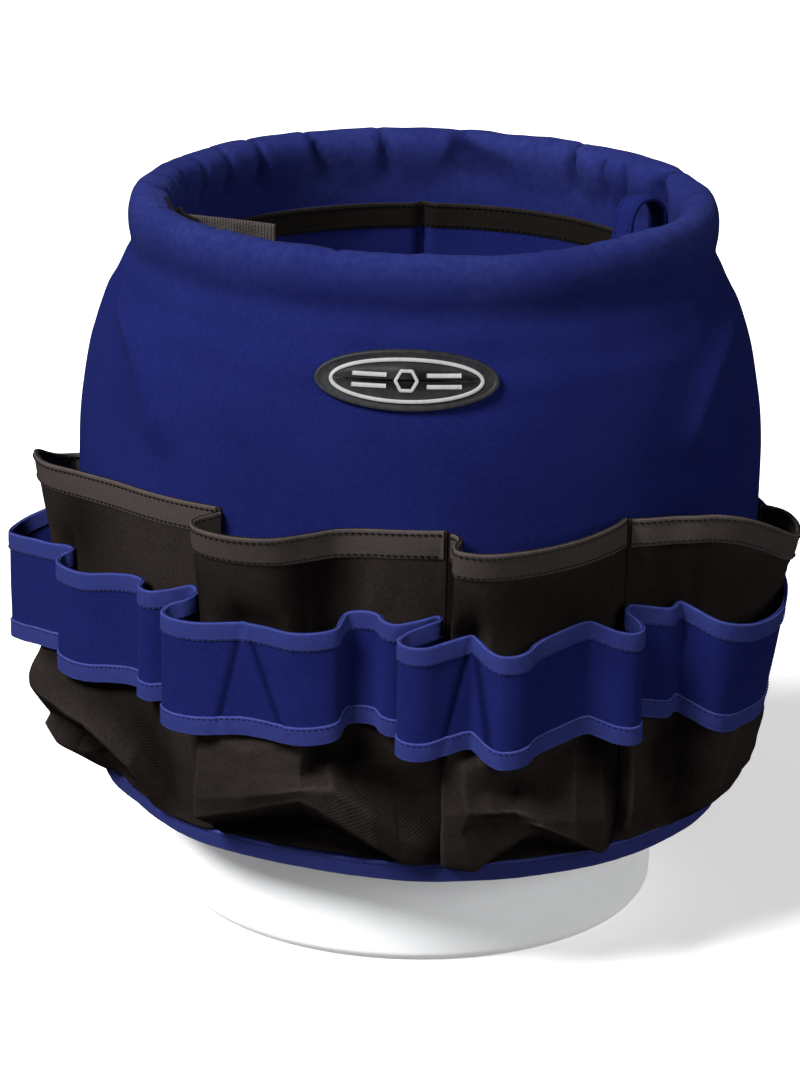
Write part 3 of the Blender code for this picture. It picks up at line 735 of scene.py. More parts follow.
PLASTIC = moulded("white_polyethylene", (0.90, 0.91, 0.92), (0.94, 0.95, 0.96), 0.38, 0.002, 0.02 * MM)
RUBBER = moulded("badge_rubber", (0.0070, 0.0072, 0.0080), (0.0200, 0.0205, 0.0230), 0.5, 0.0006,
                 0.05 * MM, 0.15)
GREY = moulded("emblem_grey", (0.28, 0.275, 0.28), (0.36, 0.355, 0.36), 0.45, 0.0006, 0.03 * MM, 0.2)


# ---------------------------------------------------------------- skirt, roll and liner

SKIRT_BY_HEIGHT = spline(SKIRT_PROFILE, 160)
PANEL_ROWS = 230
PANEL_COLUMNS = 150


def skirt_radius(angle, height):
    """Radius of the middle of the skirt's cloth, before its soft folds."""
    low, high = OVAL_FADE
    oval = OVAL * (1.0 - smooth_step((height - low) / (high - low)))
    low, high = HEM_SHIFT_FADE
    shift = np.interp(wrapped(angle), *zip(*HEM_SHIFT)) * MM
    shift = shift * (1.0 - smooth_step((height - low) / (high - low)))
    shoulder = SHOULDER * bump(height, 0.322, 0.028) * np.sin(np.radians(angle)) ** 2
    base = np.interp(height, SKIRT_BY_HEIGHT[:, 1], SKIRT_BY_HEIGHT[:, 0])
    return base - oval * np.cos(np.radians(2 * angle)) + shoulder + shift


def near_line(angle, height, line, width):
    """A ridge of height 1 down a line of (angle, height) points, fading at its ends."""
    centres, heights = zip(*reversed(line))
    low, high = heights[0], heights[-1]
    fade = 0.3 * (high - low)
    inside = smooth_step((height - low) / fade) * smooth_step((high - height) / fade)
    return bump(angle, np.interp(height, heights, centres), width) * inside


def skirt_folds(angle, height):
    """How far the soft folds of the skirt stand out, in metres."""
    turned = wrapped(angle)
    points = polar(turned, 0.17, height)
    lift = 1.3 * MM * noise(points, 0.075, 3) + 0.6 * MM * noise(points, 0.03, 4)
    for high, width, line in SKIRT_FOLDS:
        lift = lift + high * MM * near_line(turned, height, line, width)
    for number, middle in enumerate(BACK_FOLD_ANGLES):
        line = [(middle, 0.350), (middle + (-9) ** (number % 2), 0.300), (middle + 4, 0.262)]
        lift = lift + 1.6 * MM * near_line(turned, height, line, 6.0)
    waves = np.sin((height - 0.27) * 260.0 + 2.0 * noise(points, 0.09, 5))
    lift = lift + 0.45 * MM * waves * bump(height, 0.335, 0.02)
    from_seam = np.abs(np.abs(turned) - 90.0)
    above_pockets = 0.12 + 0.88 * smooth_step((height - 0.215) / 0.04)
    return lift * smooth_step(from_seam / 6.0) * above_pockets


def cover_panel(low, high):
    """One panel of the cover, with skirt, roll and liner in one length.

    Gives its points, the painted shade in the valleys of the wedge folds and the painted highlight along
    the roll's crest.
    """
    line = spline(SKIRT_PROFILE + ROLL_PROFILE + LINER_PROFILE, PANEL_ROWS)
    crest = np.argmax(line[:, 1])
    index = np.arange(PANEL_ROWS)[:, None]
    share = np.linspace(0.0, 1.0, PANEL_COLUMNS)
    angle, radius, height = np.broadcast_arrays(low + (high - low) * share, line[:, :1], line[:, 1:])
    skirt = (height <= ROLL_START) & (index < crest)
    outer = skirt_radius(angle, np.minimum(height, SKIRT_TOP)) + skirt_folds(angle, height)
    radius = np.where(skirt, radius + (outer - radius) * smooth_step((FOLDS_END - height) / 0.012), radius)

    # The roll: lumps along it, and wedge folds on its inner side under the crest
    points = polar(angle, 0.15, height)
    roll = np.exp(-((index - crest) / 26.0) ** 2)
    lumps = 0.9 * MM * noise(points, 0.028, 7) + 0.5 * MM * noise(points, 0.012, 8)
    height = height + roll * (lumps + 0.8 * MM * noise(points * (1, 1, 0), 0.05, 9))
    side = np.where(index < crest, 1.0, -1.0)
    radius = radius + roll * side * 0.8 * MM * noise(points, 0.022, 10)
    depth = np.clip((CREST - height) / 0.032, 0.0, 1.0)
    flat = points * (1, 1, 0)
    phase = np.radians(angle) * WEDGES / 2
    phase = phase + 3.2 * noise(flat, 0.08, 11) + 1.6 * depth * noise(flat, 0.05, 15)
    wedge = 0.6 - smooth_step(1.0 - np.abs(np.sin(phase)) / (0.16 + 0.85 * depth))
    wedge = wedge * (1.0 + 0.6 * noise(flat, 0.06, 13))
    inside = (index > crest) * 2.6 * np.sqrt(depth) * (1.0 - depth) ** 1.4
    tie_angle = math.degrees(math.atan2(TIE_FOOT[0], -TIE_FOOT[1]))
    inside = inside * (1.0 - 0.9 * bump(angle, tie_angle, 11.0))      # leaves room for the tie strap
    radius = radius - inside * WEDGE_DEPTH * wedge
    # Painted shade in the valleys of the wedge folds.
    painted_shade = 0.9 * inside * smooth_step((0.5 - wedge) / 0.8)
    # Painted highlight along the top of the roll.
    crest_highlight = 0.75 * np.exp(-((index - crest - 4) / 15.0) ** 2) * (0.8 + 0.4 * noise(points, 0.03, 14))
    height = height + roll * 0.8 * MM * wedge * smooth_step((index - crest + 12) / 12.0)
    liner = smooth_step((index - crest - 20) / 30.0)
    radius = radius - liner * (1.2 * MM + 1.2 * MM * noise(polar(angle, 0.14, height), 0.05, 12))
    inside_pail = PAIL_MOUTH_RADIUS - PAIL_WALL - COVER_CLOTH + 2.0 * np.maximum(height - PAIL_HEIGHT, 0.0)
    radius = np.where(index > crest, np.minimum(radius, inside_pail), radius)
    return polar(angle, radius, height), painted_shade, crest_highlight


def hem_grid(low, high):
    """The two edges of the hem's tape."""
    angle = np.linspace(low, high, 220)[None, :]
    height = np.array([[HEM_BOTTOM], [HEM_BOTTOM + HEM_TAPE]])
    height = height + 0.7 * MM * noise(polar(angle, 0.17, 0.06), 0.03, 21)
    radius = skirt_radius(angle, height) + skirt_folds(angle, height)
    return polar(angle, radius, height)


def make_cover(blue_stitches):
    """The cover's two panels and the tape on their hem."""
    for side, low, high in (("front", -90.0, 90.0), ("back", 90.0, 270.0)):
        grid, painted_shade, crest_highlight = cover_panel(low + 0.1, high - 0.1)
        middle = grid[:, PANEL_COLUMNS // 2]
        start = int(np.argmax(middle[:, 2] > HEM_BOTTOM + 3 * MM))
        nodes = ["%s_%s" % (kind, side) for kind in ("skirt", "rim_roll", "liner")]
        panel = cloth("cover_panel_" + side, grid[start:], COVER_CLOTH, NAVY, nodes,
                      painted_shade=painted_shade[start:], crest_highlight=crest_highlight[start:])
        hem = hem_grid(low + 0.05, high - 0.05)
        tape("hem_binding_%s_cloth" % side, hem[::-1], COVER_CLOTH + 1.6 * MM, BLUE_TAPE,
             ["hem_binding_" + side], 22)
        line, normal = grid_line(hem, 0.82)
        blue_stitches.row(line + normal * (COVER_CLOTH / 2 + 0.85 * MM), normal, width=0.5 * MM)


# ---------------------------------------------------------------- pockets

def pocket_shape(line, mouths, folds, ceiling):
    """The pocket's cloth before it settles, as rows from the hem up to its mouth."""
    places, rows = folds
    across = spline(line, 40 * (len(line) - 1) + 1)
    length = along(polar(across[:, 0], SKIRT_RADIUS + across[:, 1] * MM, 0.0))
    share_of = length / length[-1]
    knots = [np.argmin(np.abs(across - point).sum(1)) for point in line]
    marks = np.interp(places, range(len(line)), share_of[knots])
    share = np.linspace(0.0, 1.0, POCKET_COLUMNS)
    angle = np.interp(share, share_of, across[:, 0])
    stand_off = np.maximum(np.interp(share, share_of, across[:, 1]) * MM - NEARER, SEAT)
    fall = share if mouths[1] > mouths[0] else smooth_step((share - 0.22) / 0.5)
    mouth = mouths[0] + (mouths[1] - mouths[0]) * fall
    mouth = mouth - SEAM_DROOP * bump(np.abs(angle), *SEAM_DROOP_AT)

    levels = []
    for row in rows:
        turned, height, depth = [np.interp(share, marks, column) for column in zip(*row)]
        levels.append((turned, height * MM, depth * MM - NEARER))
    waist = WAIST + SIDE_WAIST * bump(angle, *SIDE_WAIST_AT)
    for height, out in ((0.165, waist), (0.192, waist), (np.minimum(0.215, mouth - 0.026), waist + 0.04),
                        (mouth - POCKET_TAPE, 0.88)):
        levels.append((angle, height, SEAT + (stand_off - SEAT) * out))
    levels.append((angle, mouth, stand_off))
    grid = [pocket_row(low, high, step / ROWS_PER_LEVEL, ceiling)
            for low, high in zip(levels, levels[1:]) for step in range(ROWS_PER_LEVEL)]
    grid.append(pocket_row(levels[-2], levels[-1], 1.0, ceiling))
    return np.stack(grid)


def pocket_row(low, high, part, ceiling):
    """One row of a pocket's cloth, between two levels of (angle, height, distance off the skirt)."""
    turned, height, depth = [a * (1.0 - part) + b * part for a, b in zip(low, high)]
    radius = skirt_radius(turned, np.minimum(height, POCKET_TOP)) + depth
    return polar(turned, behind_strip(turned, height, radius, ceiling), height)


def behind_strip(angle, height, radius, ceiling):
    """Keeps cloth inside the strip, over the heights that the strip covers."""
    lean = strip_lean(angle)
    limit = ceiling(angle)
    top = STRIP_TOP - STRIP_DROOP * (limit + lean - STRIP_DROOP_FROM)
    limit = limit + lean * np.clip((height - top) / STRIP_HEIGHT + 1.0, 0.0, 1.0)
    out = np.maximum(height - top, top - STRIP_HEIGHT - height) - 1.0 * MM
    slack = np.maximum(out, 0.0) * 1.5
    return np.minimum(radius, np.maximum(limit + slack, skirt_radius(angle, height) + SEAT))


def strip_lean(angle):
    """How far the lower edge of the strip leans in at an angle."""
    return STRIP_LEAN * smooth_step((angle - 46.0) / 9.0) * (1.0 - smooth_step((angle - 82.0) / 8.0))


def strip_ceiling(strip):
    """Function of angle: how far out the cloth behind the strip of loops may reach."""
    angles = angle_of(strip[len(strip) // 2])
    radii = radius_of(strip).min(axis=0)
    keys = np.arange(-180.0, 180.5, 0.5)
    limit = np.full(len(keys), 1.0)         # no limit where there is no strip
    for index, key in enumerate(keys):
        near = np.abs(wrapped(angles - key)) < 0.7
        if near.any():
            limit[index] = radii[near].min() - STRIP_OVER_POCKET
    return lambda angle: np.interp(wrapped(angle), keys, limit)


def settle(points, pinned, ceiling, steps):
    """Lets a sheet settle: its threads keep their length, and pinned points stay where they are."""
    free = (~pinned).astype(float)[..., None]
    relax(points, free)
    across = np.linalg.norm(np.diff(points, axis=1), axis=-1) * THREAD_SLACK
    up = np.linalg.norm(np.diff(points, axis=0), axis=-1) * THREAD_SLACK
    before = points.copy()

    def pull(first, second, length):
        gap = points[second] - points[first]
        size = np.maximum(np.linalg.norm(gap, axis=-1, keepdims=True), 1e-9)
        weight = np.maximum(free[first] + free[second], 1e-9)
        move = gap * (size - length[..., None]) / size / weight
        points[first] += move * free[first]
        points[second] -= move * free[second]

    frame_time = 1 / 240
    fall = np.array([0.0, 0.0, -9.81]) * frame_time ** 2
    for _ in range(steps):
        speed = np.clip((points - before) * 0.9, -0.5 * MM, 0.5 * MM)
        before = points.copy()
        points = points + (speed + fall) * free
        for _ in range(8):
            for start in (0, 1):
                pull(np.s_[:, start:-1:2], np.s_[:, start + 1::2], across[:, start::2])
                pull(np.s_[start:-1:2], np.s_[start + 1::2], up[start::2])
            angle, height = angle_of(points), points[..., 2]
            radius = np.maximum(radius_of(points), 1e-6)
            inner = skirt_radius(angle, np.clip(height, HEM_BOTTOM, POCKET_TOP)) + SEAT
            wanted = behind_strip(angle, height, np.maximum(radius, inner), ceiling)
            points[..., :2] *= np.where(pinned, 1.0, wanted / radius)[..., None]
    return points


def relax(points, free):
    """Pulls each point towards the middle of its neighbours, which rounds off sharp creases."""
    for one, middle, two in ((np.s_[:-2], np.s_[1:-1], np.s_[2:]),
                             (np.s_[:, :-2], np.s_[:, 1:-1], np.s_[:, 2:])):
        change = (points[one] + points[two]) / 2 - points[middle]
        points[middle] += change * 0.15 * free[middle]


def pocket_cloth(line, mouths, folds, ceiling, seed):
    """Points of a pocket's cloth once settled, the two edges of its mouth's tape, and its width."""
    grid = pocket_shape(line, mouths, folds, ceiling)
    under_tape = -ROWS_PER_LEVEL - 1
    pinned = np.ones(grid.shape[:2], bool)
    pinned[1:under_tape, 1:-1] = False
    mouth = grid[[under_tape, -1]]
    ripple = 0.7 * MM * noise(grid, 0.022, seed) + 0.35 * MM * noise(grid, 0.010, seed + 40)
    start = grid + normals_of(grid) * (ripple * ~pinned)[..., None]
    steps = 8
    length = float(along(grid[-1])[-1])
    return settle(start, pinned, ceiling, steps), mouth, length


def all_pockets():
    """Each pocket's name, mouth heights, mouth line and folds, front ones first."""
    for name, (left, right, line) in FRONT_POCKETS.items():
        yield name, (left, right), line, POCKET_FOLDS[name]
    start, end = BACK_POCKET_EDGES
    width = (end - start) / 4
    for index in range(4):
        low, high = start + width * index + 0.9, start + width * (index + 1) - 0.9
        shape = BACK_SIDE_POCKET_LINE if index in (0, 3) else BACK_POCKET_LINE
        if index == 3:
            shape = [(1.0 - share, depth) for share, depth in reversed(shape)]
        line = [(low + (high - low) * share, depth) for share, depth in shape]
        source, mirrored = BACK_POCKET_FOLDS[index]
        folds = borrowed_folds(source, mirrored, low, high, len(line) - 1)
        yield "outer_pocket_back_%d" % (index + 1), (BACK_POCKET_MOUTH,) * 2, line, folds


def borrowed_folds(source, mirrored, low, high, last):
    """A front pocket's folds, moved to lie between two other angles."""
    places, rows = POCKET_FOLDS[source]
    start, end = FRONT_POCKETS[source][2][0][0], FRONT_POCKETS[source][2][-1][0]
    places = [place / places[-1] for place in places]
    shares = [[((a - start) / (end - start), h, SEWN_DEPTH + 0.8 * (d - SEWN_DEPTH)) for a, h, d in row]
              for row in rows]
    if mirrored:
        places = [1.0 - place for place in reversed(places)]
        shares = [[(1.0 - s, h, d) for s, h, d in reversed(row)] for row in shares]
    moved = [[(low + (high - low) * s, h, d) for s, h, d in row] for row in shares]
    return [place * last for place in places], moved


def make_pockets(ceiling, black_stitches):
    """The outer pockets, and the tape on their mouths."""
    for number, (name, mouths, line, folds) in enumerate(all_pockets()):
        grid, mouth, length = pocket_cloth(line, mouths, folds, ceiling, 130 + number)
        depth = radius_of(grid) - skirt_radius(angle_of(grid), np.minimum(grid[..., 2], POCKET_TOP))
        # Painted shade where the cloth lies deep between its folds.
        piece = cloth(name + "_cloth", grid, TWILL, DARK, [name], smooth=1,
                      painted_shade=recess_shade_of(depth))
        mouth = mouth[:, 1:-1]
        tape(name + "_tape", mouth, TAPE, DARK_TAPE, [name + "_binding"], 50 + number)
        stitch_tape(black_stitches, mouth, TAPE)


# ---------------------------------------------------------------- strip of tool loops

def strip_line(points, count):
    """A smooth line round the strip, from (angle, radius in mm) points."""
    angle, radius = np.transpose(points)
    return spline(polar(angle, radius * MM, 0.0)[:, :2], count)


def back_strip_points():
    """Loops round the back, flatter next to the side seams."""
    start, end = BACK_LOOP_EDGES
    width = (end - start) / BACK_LOOPS
    points = []
    for index in range(BACK_LOOPS):
        low = start + width * index
        at_side = index in (0, BACK_LOOPS - 1)
        seat, out = (184.5, 8.5) if at_side else (190.0, 12.0)
        lean = 0.05 if index % 3 else -0.05
        for share, full in BACK_LOOP_SHAPE:
            points.append((low + width * (share + lean * math.sin(math.pi * share)), seat + out * full))
    return points


def strip_grid(line, seed):
    """The strip's cloth: it hangs lower the further out it stands, and its lower edge sways."""
    radius = radius_of(line)
    angle = angle_of(line)
    top = STRIP_TOP - STRIP_DROOP * (radius - STRIP_DROOP_FROM)
    lean = strip_lean(angle)
    grid = []
    for share in np.linspace(0.0, 1.0, STRIP_ROWS):
        height = top - STRIP_HEIGHT * (1.0 - share)
        points = np.column_stack([line, height])
        sway = 1.6 * MM * noise(points * (1, 1, 0), 0.035, seed) * (1.0 - share)
        soft = 0.45 * MM * noise(points, 0.018, seed + 1)
        crease = 0.9 * MM * strip_crease(angle, share)
        out = sway + soft - crease - lean * (1.0 - share)
        points[:, :2] *= (1.0 + out / radius)[:, None]
        grid.append(points)
    return np.stack(grid)


def strip_crease(angle, share):
    """From 0 to 1 where a pressed crease crosses the strip, at a share of its height."""
    return sum(bump(angle, low + (top - low) * share, 0.55) for top, low in STRIP_CREASES)


def make_strip(grid, side, count, blue_stitches, seed):
    """The strip of tool loops on one side, and its two tapes."""
    tape_rows = round(STRIP_TAPE / STRIP_HEIGHT * (STRIP_ROWS - 1))
    loops = ["tool_loop_%s_%d" % (side, number + 1) for number in range(count)]
    share = np.linspace(0.0, 1.0, STRIP_ROWS)[:, None]
    # Painted shade along the pressed creases.
    crease_shade = 0.8 * np.minimum(strip_crease(angle_of(grid), share), 1.0)
    piece = cloth("tool_loop_strip_" + side, grid, TWILL, NAVY, loops, painted_shade=crease_shade)
    upper, lower = grid[[-tape_rows - 1, -1]], grid[[tape_rows, 0]]
    tape("loop_tape_top_" + side, upper, LOOP_TAPE, BLUE_TAPE,
         ["loop_binding_top_" + side], seed)
    tape("loop_tape_bottom_" + side, lower, LOOP_TAPE, BLUE_TAPE,
         ["loop_binding_bottom_" + side], seed + 2)
    for edge, share in ((upper, 0.12), (lower[::-1], 0.88)):
        stitch_tape(blue_stitches, edge, LOOP_TAPE, (share,), pitch=3.0 * MM, length=2.2 * MM,
                    width=0.5 * MM)


# ---------------------------------------------------------------- inside

def make_inner_pockets(black_stitches):
    """The liner's pocket panels, each divided by a seam."""
    bottom, tall = LINER_POCKET_BOTTOM, LINER_POCKET_TOP - LINER_POCKET_BOTTOM
    rows, columns = 60, 140
    tape_rows = round(LINER_POCKET_TAPE / tall * (rows - 1))
    liner_radii, liner_heights = zip(*LINER_PROFILE[::-1], ROLL_PROFILE[-1])
    for side, middle in (("front", 0.0), ("back", 180.0)):
        share = np.linspace(0.0, 1.0, columns)[None, :]
        angle = middle + LINER_POCKET_REACH * (1.0 - 2.0 * share)
        height = (bottom + tall * np.linspace(0.0, 1.0, rows))[:, None]
        liner = np.interp(height, liner_heights, liner_radii)
        edge = smooth_step(np.minimum(share, 1.0 - share) * 9.0)
        rise = smooth_step((height - bottom) / 0.02)
        divide = 1.0 - 0.8 * bump(angle, middle, 1.6)
        depth = 3.2 * MM + 6.0 * MM * edge * rise * divide
        points = polar(angle, 0.13, height)
        depth = depth + (1.1 * MM * noise(points, 0.05, 61) + 0.5 * MM * noise(points, 0.02, 62)) * edge
        grid = polar(angle, liner - depth, height)
        piece = cloth("liner_pocket_%s_cloth" % side, grid, TWILL, NAVY,
                      ["liner_pocket_" + side])
        mouth = grid[[-tape_rows - 1, -1]]
        tape("liner_tape_" + side, mouth, TAPE, BLACK_TAPE, ["liner_binding_" + side], 63)
        stitch_tape(black_stitches, mouth, TAPE)
        for column in (columns // 2 - 2, columns // 2):     # the seam that divides the pocket
            line = grid[::-1, column]
            normal = normals_of(grid)[::-1, column]
            black_stitches.row(line + normal * (TWILL * 0.55), normal, width=0.5 * MM)


def make_webbing():
    """The end of a ribbed webbing strap, sewn in at the left."""
    columns = 260
    path = spline(TAB_PATH, columns)
    length = along(path)
    ribs = 0.22 * MM * np.sin(length / RIB * math.tau)
    across = np.gradient(path, axis=0)
    side = np.stack([-across[:, 1], across[:, 0]], -1)
    side /= np.linalg.norm(side, axis=1, keepdims=True)
    rows = []
    for share in np.linspace(0.0, 1.0, 14):
        sag = 0.8 * MM * np.sin(math.pi * share) * noise(np.column_stack([path, length]), 0.03, 71)
        line = path + side * (ribs * (0.1 < share < 0.9) + sag)[:, None]
        top = TAB_TOPS[1] - (TAB_TOPS[1] - TAB_TOPS[0] + 5 * MM) * np.linspace(1.0, 0.0, columns) ** 2
        rows.append(np.column_stack([line, top - TAB_WIDTH * (1.0 - share)]))
    piece = cloth("webbing_end_strap", np.stack(rows), 1.5 * MM, WEBBING, ["webbing_tab"],
                  body="webbing_end")


def make_slit_tape():
    """The raw end of a dark tape that curls up where the webbing is sewn in."""
    columns = 105
    path = spline(TAB_PATH, 200)[:columns]
    path = path * (1.0 + 2.6 * MM / np.linalg.norm(path, axis=1, keepdims=True))
    share = np.linspace(0.0, 1.0, columns)
    top = TAB_TOPS[0] + 3.2 * MM + 3.2 * MM * bump(share, 0.72, 0.09) + 1.4 * MM * bump(share, 0.2, 0.12)
    top = top + 0.5 * MM * noise(np.column_stack([path, share * 0.05]), 0.006, 73)
    rows = []
    for level in np.linspace(0.0, 1.0, 12):
        curl = 2.0 * MM * level ** 3 * (0.4 + bump(share, 0.72, 0.2))
        line = path * (1.0 + curl / np.linalg.norm(path, axis=1))[:, None]
        rows.append(np.column_stack([line, top - SLIT_TAPE_WIDTH * (1.0 - level)]))
    piece = cloth("slit_tape_end", np.stack(rows)[:, ::-1], 1.1 * MM, BLACK_TAPE)


def make_tie(blue_stitches):
    """The tie strap: a loop of folded twill that stands up inside the rim."""
    line = spline(TIE_OUTLINE, 70)
    grid = []
    for share in np.linspace(-0.5, 0.5, 9):
        x = TIE_FOOT[0] + line[:, 0] * math.cos(TIE_TURN) - share * TIE_WIDTH * math.sin(TIE_TURN)
        y = TIE_FOOT[1] + line[:, 0] * math.sin(TIE_TURN) + share * TIE_WIDTH * math.cos(TIE_TURN)
        grid.append(np.column_stack([x, y, TIE_FOOT[2] + line[:, 1]]))
    grid = np.stack(grid)[::-1]
    piece = cloth("tie_strap_loop", grid, 2.0 * MM, NAVY, ["tie_strap"], body="tie_loop")
    stitches = Stitching()
    for share in (0.16, 0.84):
        edge, normal = grid_line(grid, share)
        for side in (1, -1):
            stitches.row(edge + normal * (side * 1.05 * MM), normal * side, pitch=2.8 * MM,
                         length=2.0 * MM, width=0.45 * MM)
    stitches.make("tie_strap_stitching", BLUE_THREAD, body="tie_loop")


# ---------------------------------------------------------------- badge

def on_skirt(across, up, lift):
    """Points over the skirt's front, from the badge's centre, raised off the cloth."""
    height = BADGE_HEIGHT + up
    angle = BADGE_ANGLE + np.degrees(across / 0.160)
    radius = skirt_radius(angle, height) + skirt_folds(np.full_like(angle, BADGE_ANGLE), height)
    return polar(angle, radius + lift, height)


def make_plate():
    """The badge's moulded oval plate, with a raised rim."""
    turns = np.linspace(0.0, math.tau, 96, endpoint=False)
    rings = []
    for share, lift in BADGE_SECTION:
        across = np.cos(turns) * (BADGE_HALF_SIZE[0] - (1.0 - share) * BADGE_HALF_SIZE[1])
        up = np.sin(turns) * BADGE_HALF_SIZE[1] * share
        rings.append(on_skirt(across, up, (BADGE_BASE + lift) * MM))
    rings = np.stack(rings)
    swept("badge_plate_moulding", rings, rings[..., [0, 2]], RUBBER, ["badge_plate"])


def raised_outline(name, outline, width, nodes=(), closed=True):
    """A raised line of the emblem along an outline of (across, up) points on the badge."""
    low, high = EMBLEM_LOW, EMBLEM_HIGH
    if closed:
        tangent = np.roll(outline, -1, 0) - np.roll(outline, 1, 0)
    else:
        tangent = np.gradient(outline, axis=0)
    tangent /= np.linalg.norm(tangent, axis=1, keepdims=True)
    side = np.stack([-tangent[:, 1], tangent[:, 0]], -1)
    rings = []
    for share, lift in ((-1.0, low), (-0.85, high - 0.15), (-0.6, high), (0.6, high),
                        (0.85, high - 0.15), (1.0, low)):
        place = outline + side * (share * width / 2)
        rings.append(on_skirt(place[:, 0], place[:, 1], lift * MM))
    rings = np.stack(rings, 1)
    uvs = rings[..., [0, 2]]
    if not closed:
        return swept(name, rings, uvs, GREY, nodes)
    faces = quads(*rings.shape[:2], closed=True, looped=True)[:, [0, 3, 2, 1]]
    item = mesh_object(name, rings.reshape(-1, 3), faces, uvs.reshape(-1, 2))
    return finish_piece(item, GREY, LIFTED, nodes)


def make_badge():
    """A rubber plate with a plain emblem: a ring, a hexagon nut and four bars."""
    make_plate()
    turns = np.linspace(0.0, math.tau, 120, endpoint=False)
    ring = np.stack([np.cos(turns), np.sin(turns)], -1) * EMBLEM_RING
    raised_outline("badge_emblem_ring", ring, 1.9 * MM, ["badge_emblem"])
    corners = [(math.cos(math.radians(60 * k)) * EMBLEM_NUT, math.sin(math.radians(60 * k)) * EMBLEM_NUT)
               for k in range(7)]
    raised_outline("badge_emblem_nut", resample(np.array(corners), 61)[:-1], 1.7 * MM)
    for number, (start, end) in enumerate(((-0.026, -0.0095), (0.0095, 0.026))):
        for place, level in (("low", -0.0026), ("high", 0.0026)):
            bar = np.stack([np.linspace(start, end, 24), np.full(24, level)], -1)
            name = "badge_emblem_bar_%d_%s" % (number + 1, place)
            raised_outline(name, bar, 2.2 * MM, closed=False)


# ---------------------------------------------------------------- pail

def rounded(profile, radius):
    """The profile with each corner between its ends rounded off."""
    profile = np.asarray(profile, float)
    line = [profile[0]]
    for before, corner, after in zip(profile, profile[1:], profile[2:]):
        first, second = (corner + (other - corner) * min(radius / np.linalg.norm(other - corner), 0.45)
                         for other in (before, after))
        for share in np.linspace(0.0, 1.0, 5):
            line.append((1 - share) ** 2 * first + 2 * share * (1 - share) * corner + share ** 2 * second)
    line.append(profile[-1])
    return np.array(line)


def make_pail():
    """The pail as one shell, turned from its section."""
    def wall(height):
        """The wall's outer radius at a height."""
        return PAIL_BASE_RADIUS + (PAIL_MOUTH_RADIUS - PAIL_BASE_RADIUS) * height / PAIL_HEIGHT

    floor = 3 * MM
    lip = PAIL_HEIGHT - PAIL_LIP_DEPTH
    hoop = PAIL_HOOP_HEIGHT - 3 * MM
    profile = [
        (0.002, floor), (wall(floor) - PAIL_WALL, floor), (wall(PAIL_HEIGHT) - PAIL_WALL, PAIL_HEIGHT),
        (PAIL_LIP_RADIUS, PAIL_HEIGHT), (PAIL_LIP_RADIUS, lip), (wall(lip) + 2.5 * MM, lip),
        (wall(lip) + 2.5 * MM, lip + 4 * MM), (wall(lip), lip + 4 * MM),
        (wall(PAIL_HOOP_HEIGHT), PAIL_HOOP_HEIGHT), (PAIL_HOOP_RADIUS, PAIL_HOOP_HEIGHT),
        (PAIL_HOOP_RADIUS, hoop), (wall(hoop), hoop - MM), (wall(0.012), 0.012),
        (PAIL_BASE_RADIUS, 0.004), (PAIL_BASE_RADIUS - 3 * MM, 0.0), (PAIL_BASE_RADIUS - 8 * MM, 0.0),
        (PAIL_BASE_RADIUS - 10 * MM, 1.2 * MM), (0.002, 1.2 * MM),
    ]
    line = rounded(profile, 1.6 * MM)
    around = 192
    turns = np.linspace(0.0, 360.0, around, endpoint=False)
    rings = polar(turns[None, :], line[:, :1], line[:, 1:])
    uvs = np.stack(np.broadcast_arrays(np.radians(turns)[None, :] * 0.14, along(line)[:, None]), -1)
    faces = [tuple(face)[::-1] for face in quads(len(line), around, closed=True)]
    faces.append(tuple(range(around)))
    faces.append(tuple(range((len(line) - 1) * around, len(line) * around))[::-1])
    item = mesh_object("pail_shell", rings.reshape(-1, 3), faces, uvs.reshape(-1, 2))
    finish_piece(item, PLASTIC, "pail", ["pail"])


# ---------------------------------------------------------------- stage, light and camera

def make_stage():
    """A pale floor."""
    bpy.ops.mesh.primitive_plane_add(size=8.0, location=(0.0, 1.0, 0.0))
    floor = bpy.context.object
    floor.name = "studio_floor"
    pale = Shader("pale_floor", 0.9)
    pale.colour(pale.ramp(pale.cloud(0.5), 0.3, 0.7, ((0.90, 0.90, 0.90), (0.93, 0.93, 0.93))))
    floor.data.materials.append(pale.material)
    pale.fill(pale.surface, {"Emission Color": (1.0, 1.0, 1.0, 1.0), "Emission Strength": FLOOR_GLOW})
    floor.visible_diffuse = False      # keeps the folds' undersides dark


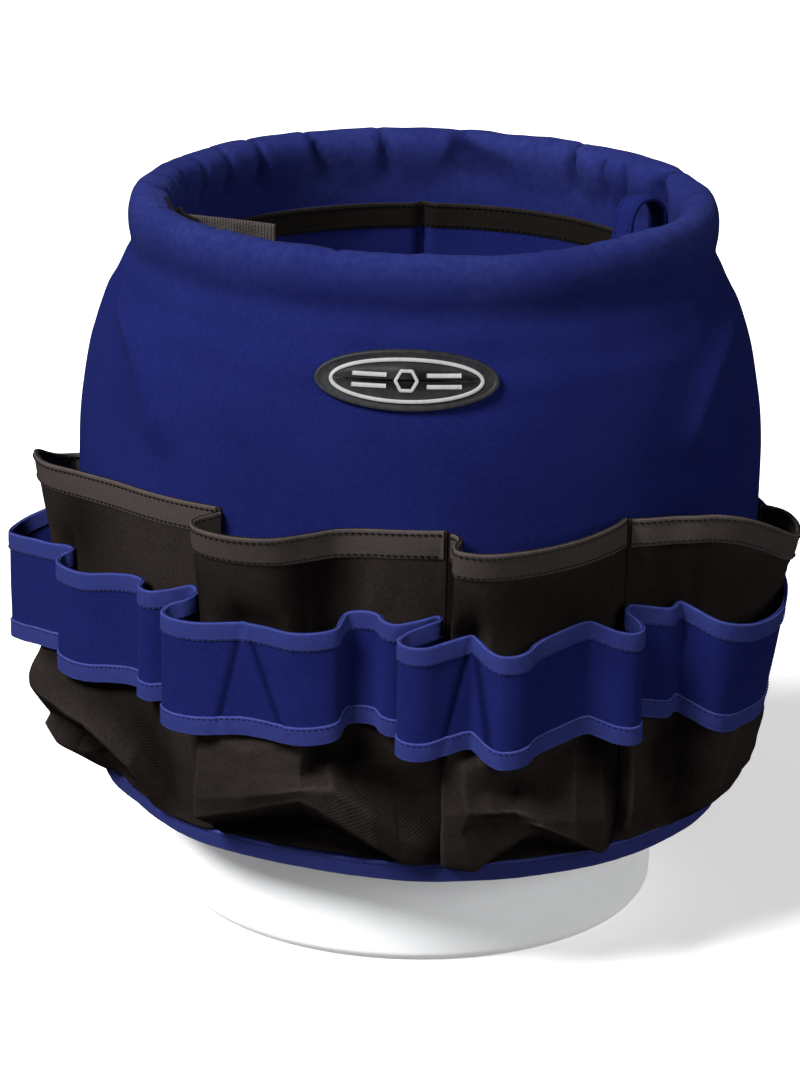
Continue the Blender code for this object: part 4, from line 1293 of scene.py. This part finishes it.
def make_light():
    """A dim sky that looks white, a large soft lamp high on the left and a low one on the right."""
    world = bpy.data.worlds.new("studio")
    bpy.context.scene.world = world
    world.use_nodes = True
    tree = world.node_tree
    sky = tree.nodes["Background"]
    rays = tree.nodes.new("ShaderNodeLightPath")
    strength = tree.nodes.new("ShaderNodeMapRange")
    strength.inputs["To Min"].default_value = SKY_GLOW
    strength.inputs["To Max"].default_value = 1.0
    tree.links.new(rays.outputs["Is Camera Ray"], strength.inputs["Value"])
    tree.links.new(strength.outputs["Result"], sky.inputs["Strength"])
    sky.inputs["Color"].default_value = (1.0, 1.0, 1.0, 1.0)
    for name, power, spread, place in LAMPS:
        lamp = bpy.data.lights.new(name, "SUN")
        lamp.energy = power
        lamp.angle = math.radians(spread)
        item = bpy.data.objects.new(name, lamp)
        item.location = place
        item.rotation_euler = Vector(place).to_track_quat("Z", "Y").to_euler()
        bpy.context.scene.collection.objects.link(item)


def make_camera():
    camera = bpy.data.cameras.new("camera")
    camera.lens = CAMERA_LENS
    camera.sensor_width = 36.0
    item = bpy.data.objects.new("camera", camera)
    bpy.context.scene.collection.objects.link(item)
    tilt = Matrix.Rotation(math.radians(90.0 - CAMERA_PITCH), 4, "X")
    roll = Matrix.Rotation(math.radians(CAMERA_ROLL), 4, "Z")
    item.location = CAMERA_PLACE
    item.rotation_euler = (tilt @ roll).to_euler()
    bpy.context.scene.camera = item


# ---------------------------------------------------------------- the whole

def main():
    bpy.context.scene.view_settings.view_transform = "Standard"
    make_camera()
    make_light()
    make_stage()
    make_pail()
    blue_stitches = Stitching()
    black_stitches = Stitching()
    make_cover(blue_stitches)
    front = strip_grid(strip_line(FRONT_STRIP, 560), 81)
    back = strip_grid(strip_line(back_strip_points(), 420), 83)
    ceiling = strip_ceiling(np.concatenate([front, back], axis=1))
    make_pockets(ceiling, black_stitches)
    make_strip(front, "front", 12, blue_stitches, 85)
    make_strip(back, "back", 8, blue_stitches, 89)
    make_inner_pockets(black_stitches)
    make_webbing()
    make_slit_tape()
    make_tie(blue_stitches)
    make_badge()
    black_stitches.make("black_stitching", BLACK_THREAD)
    blue_stitches.make("blue_stitching", BLUE_THREAD)


main()
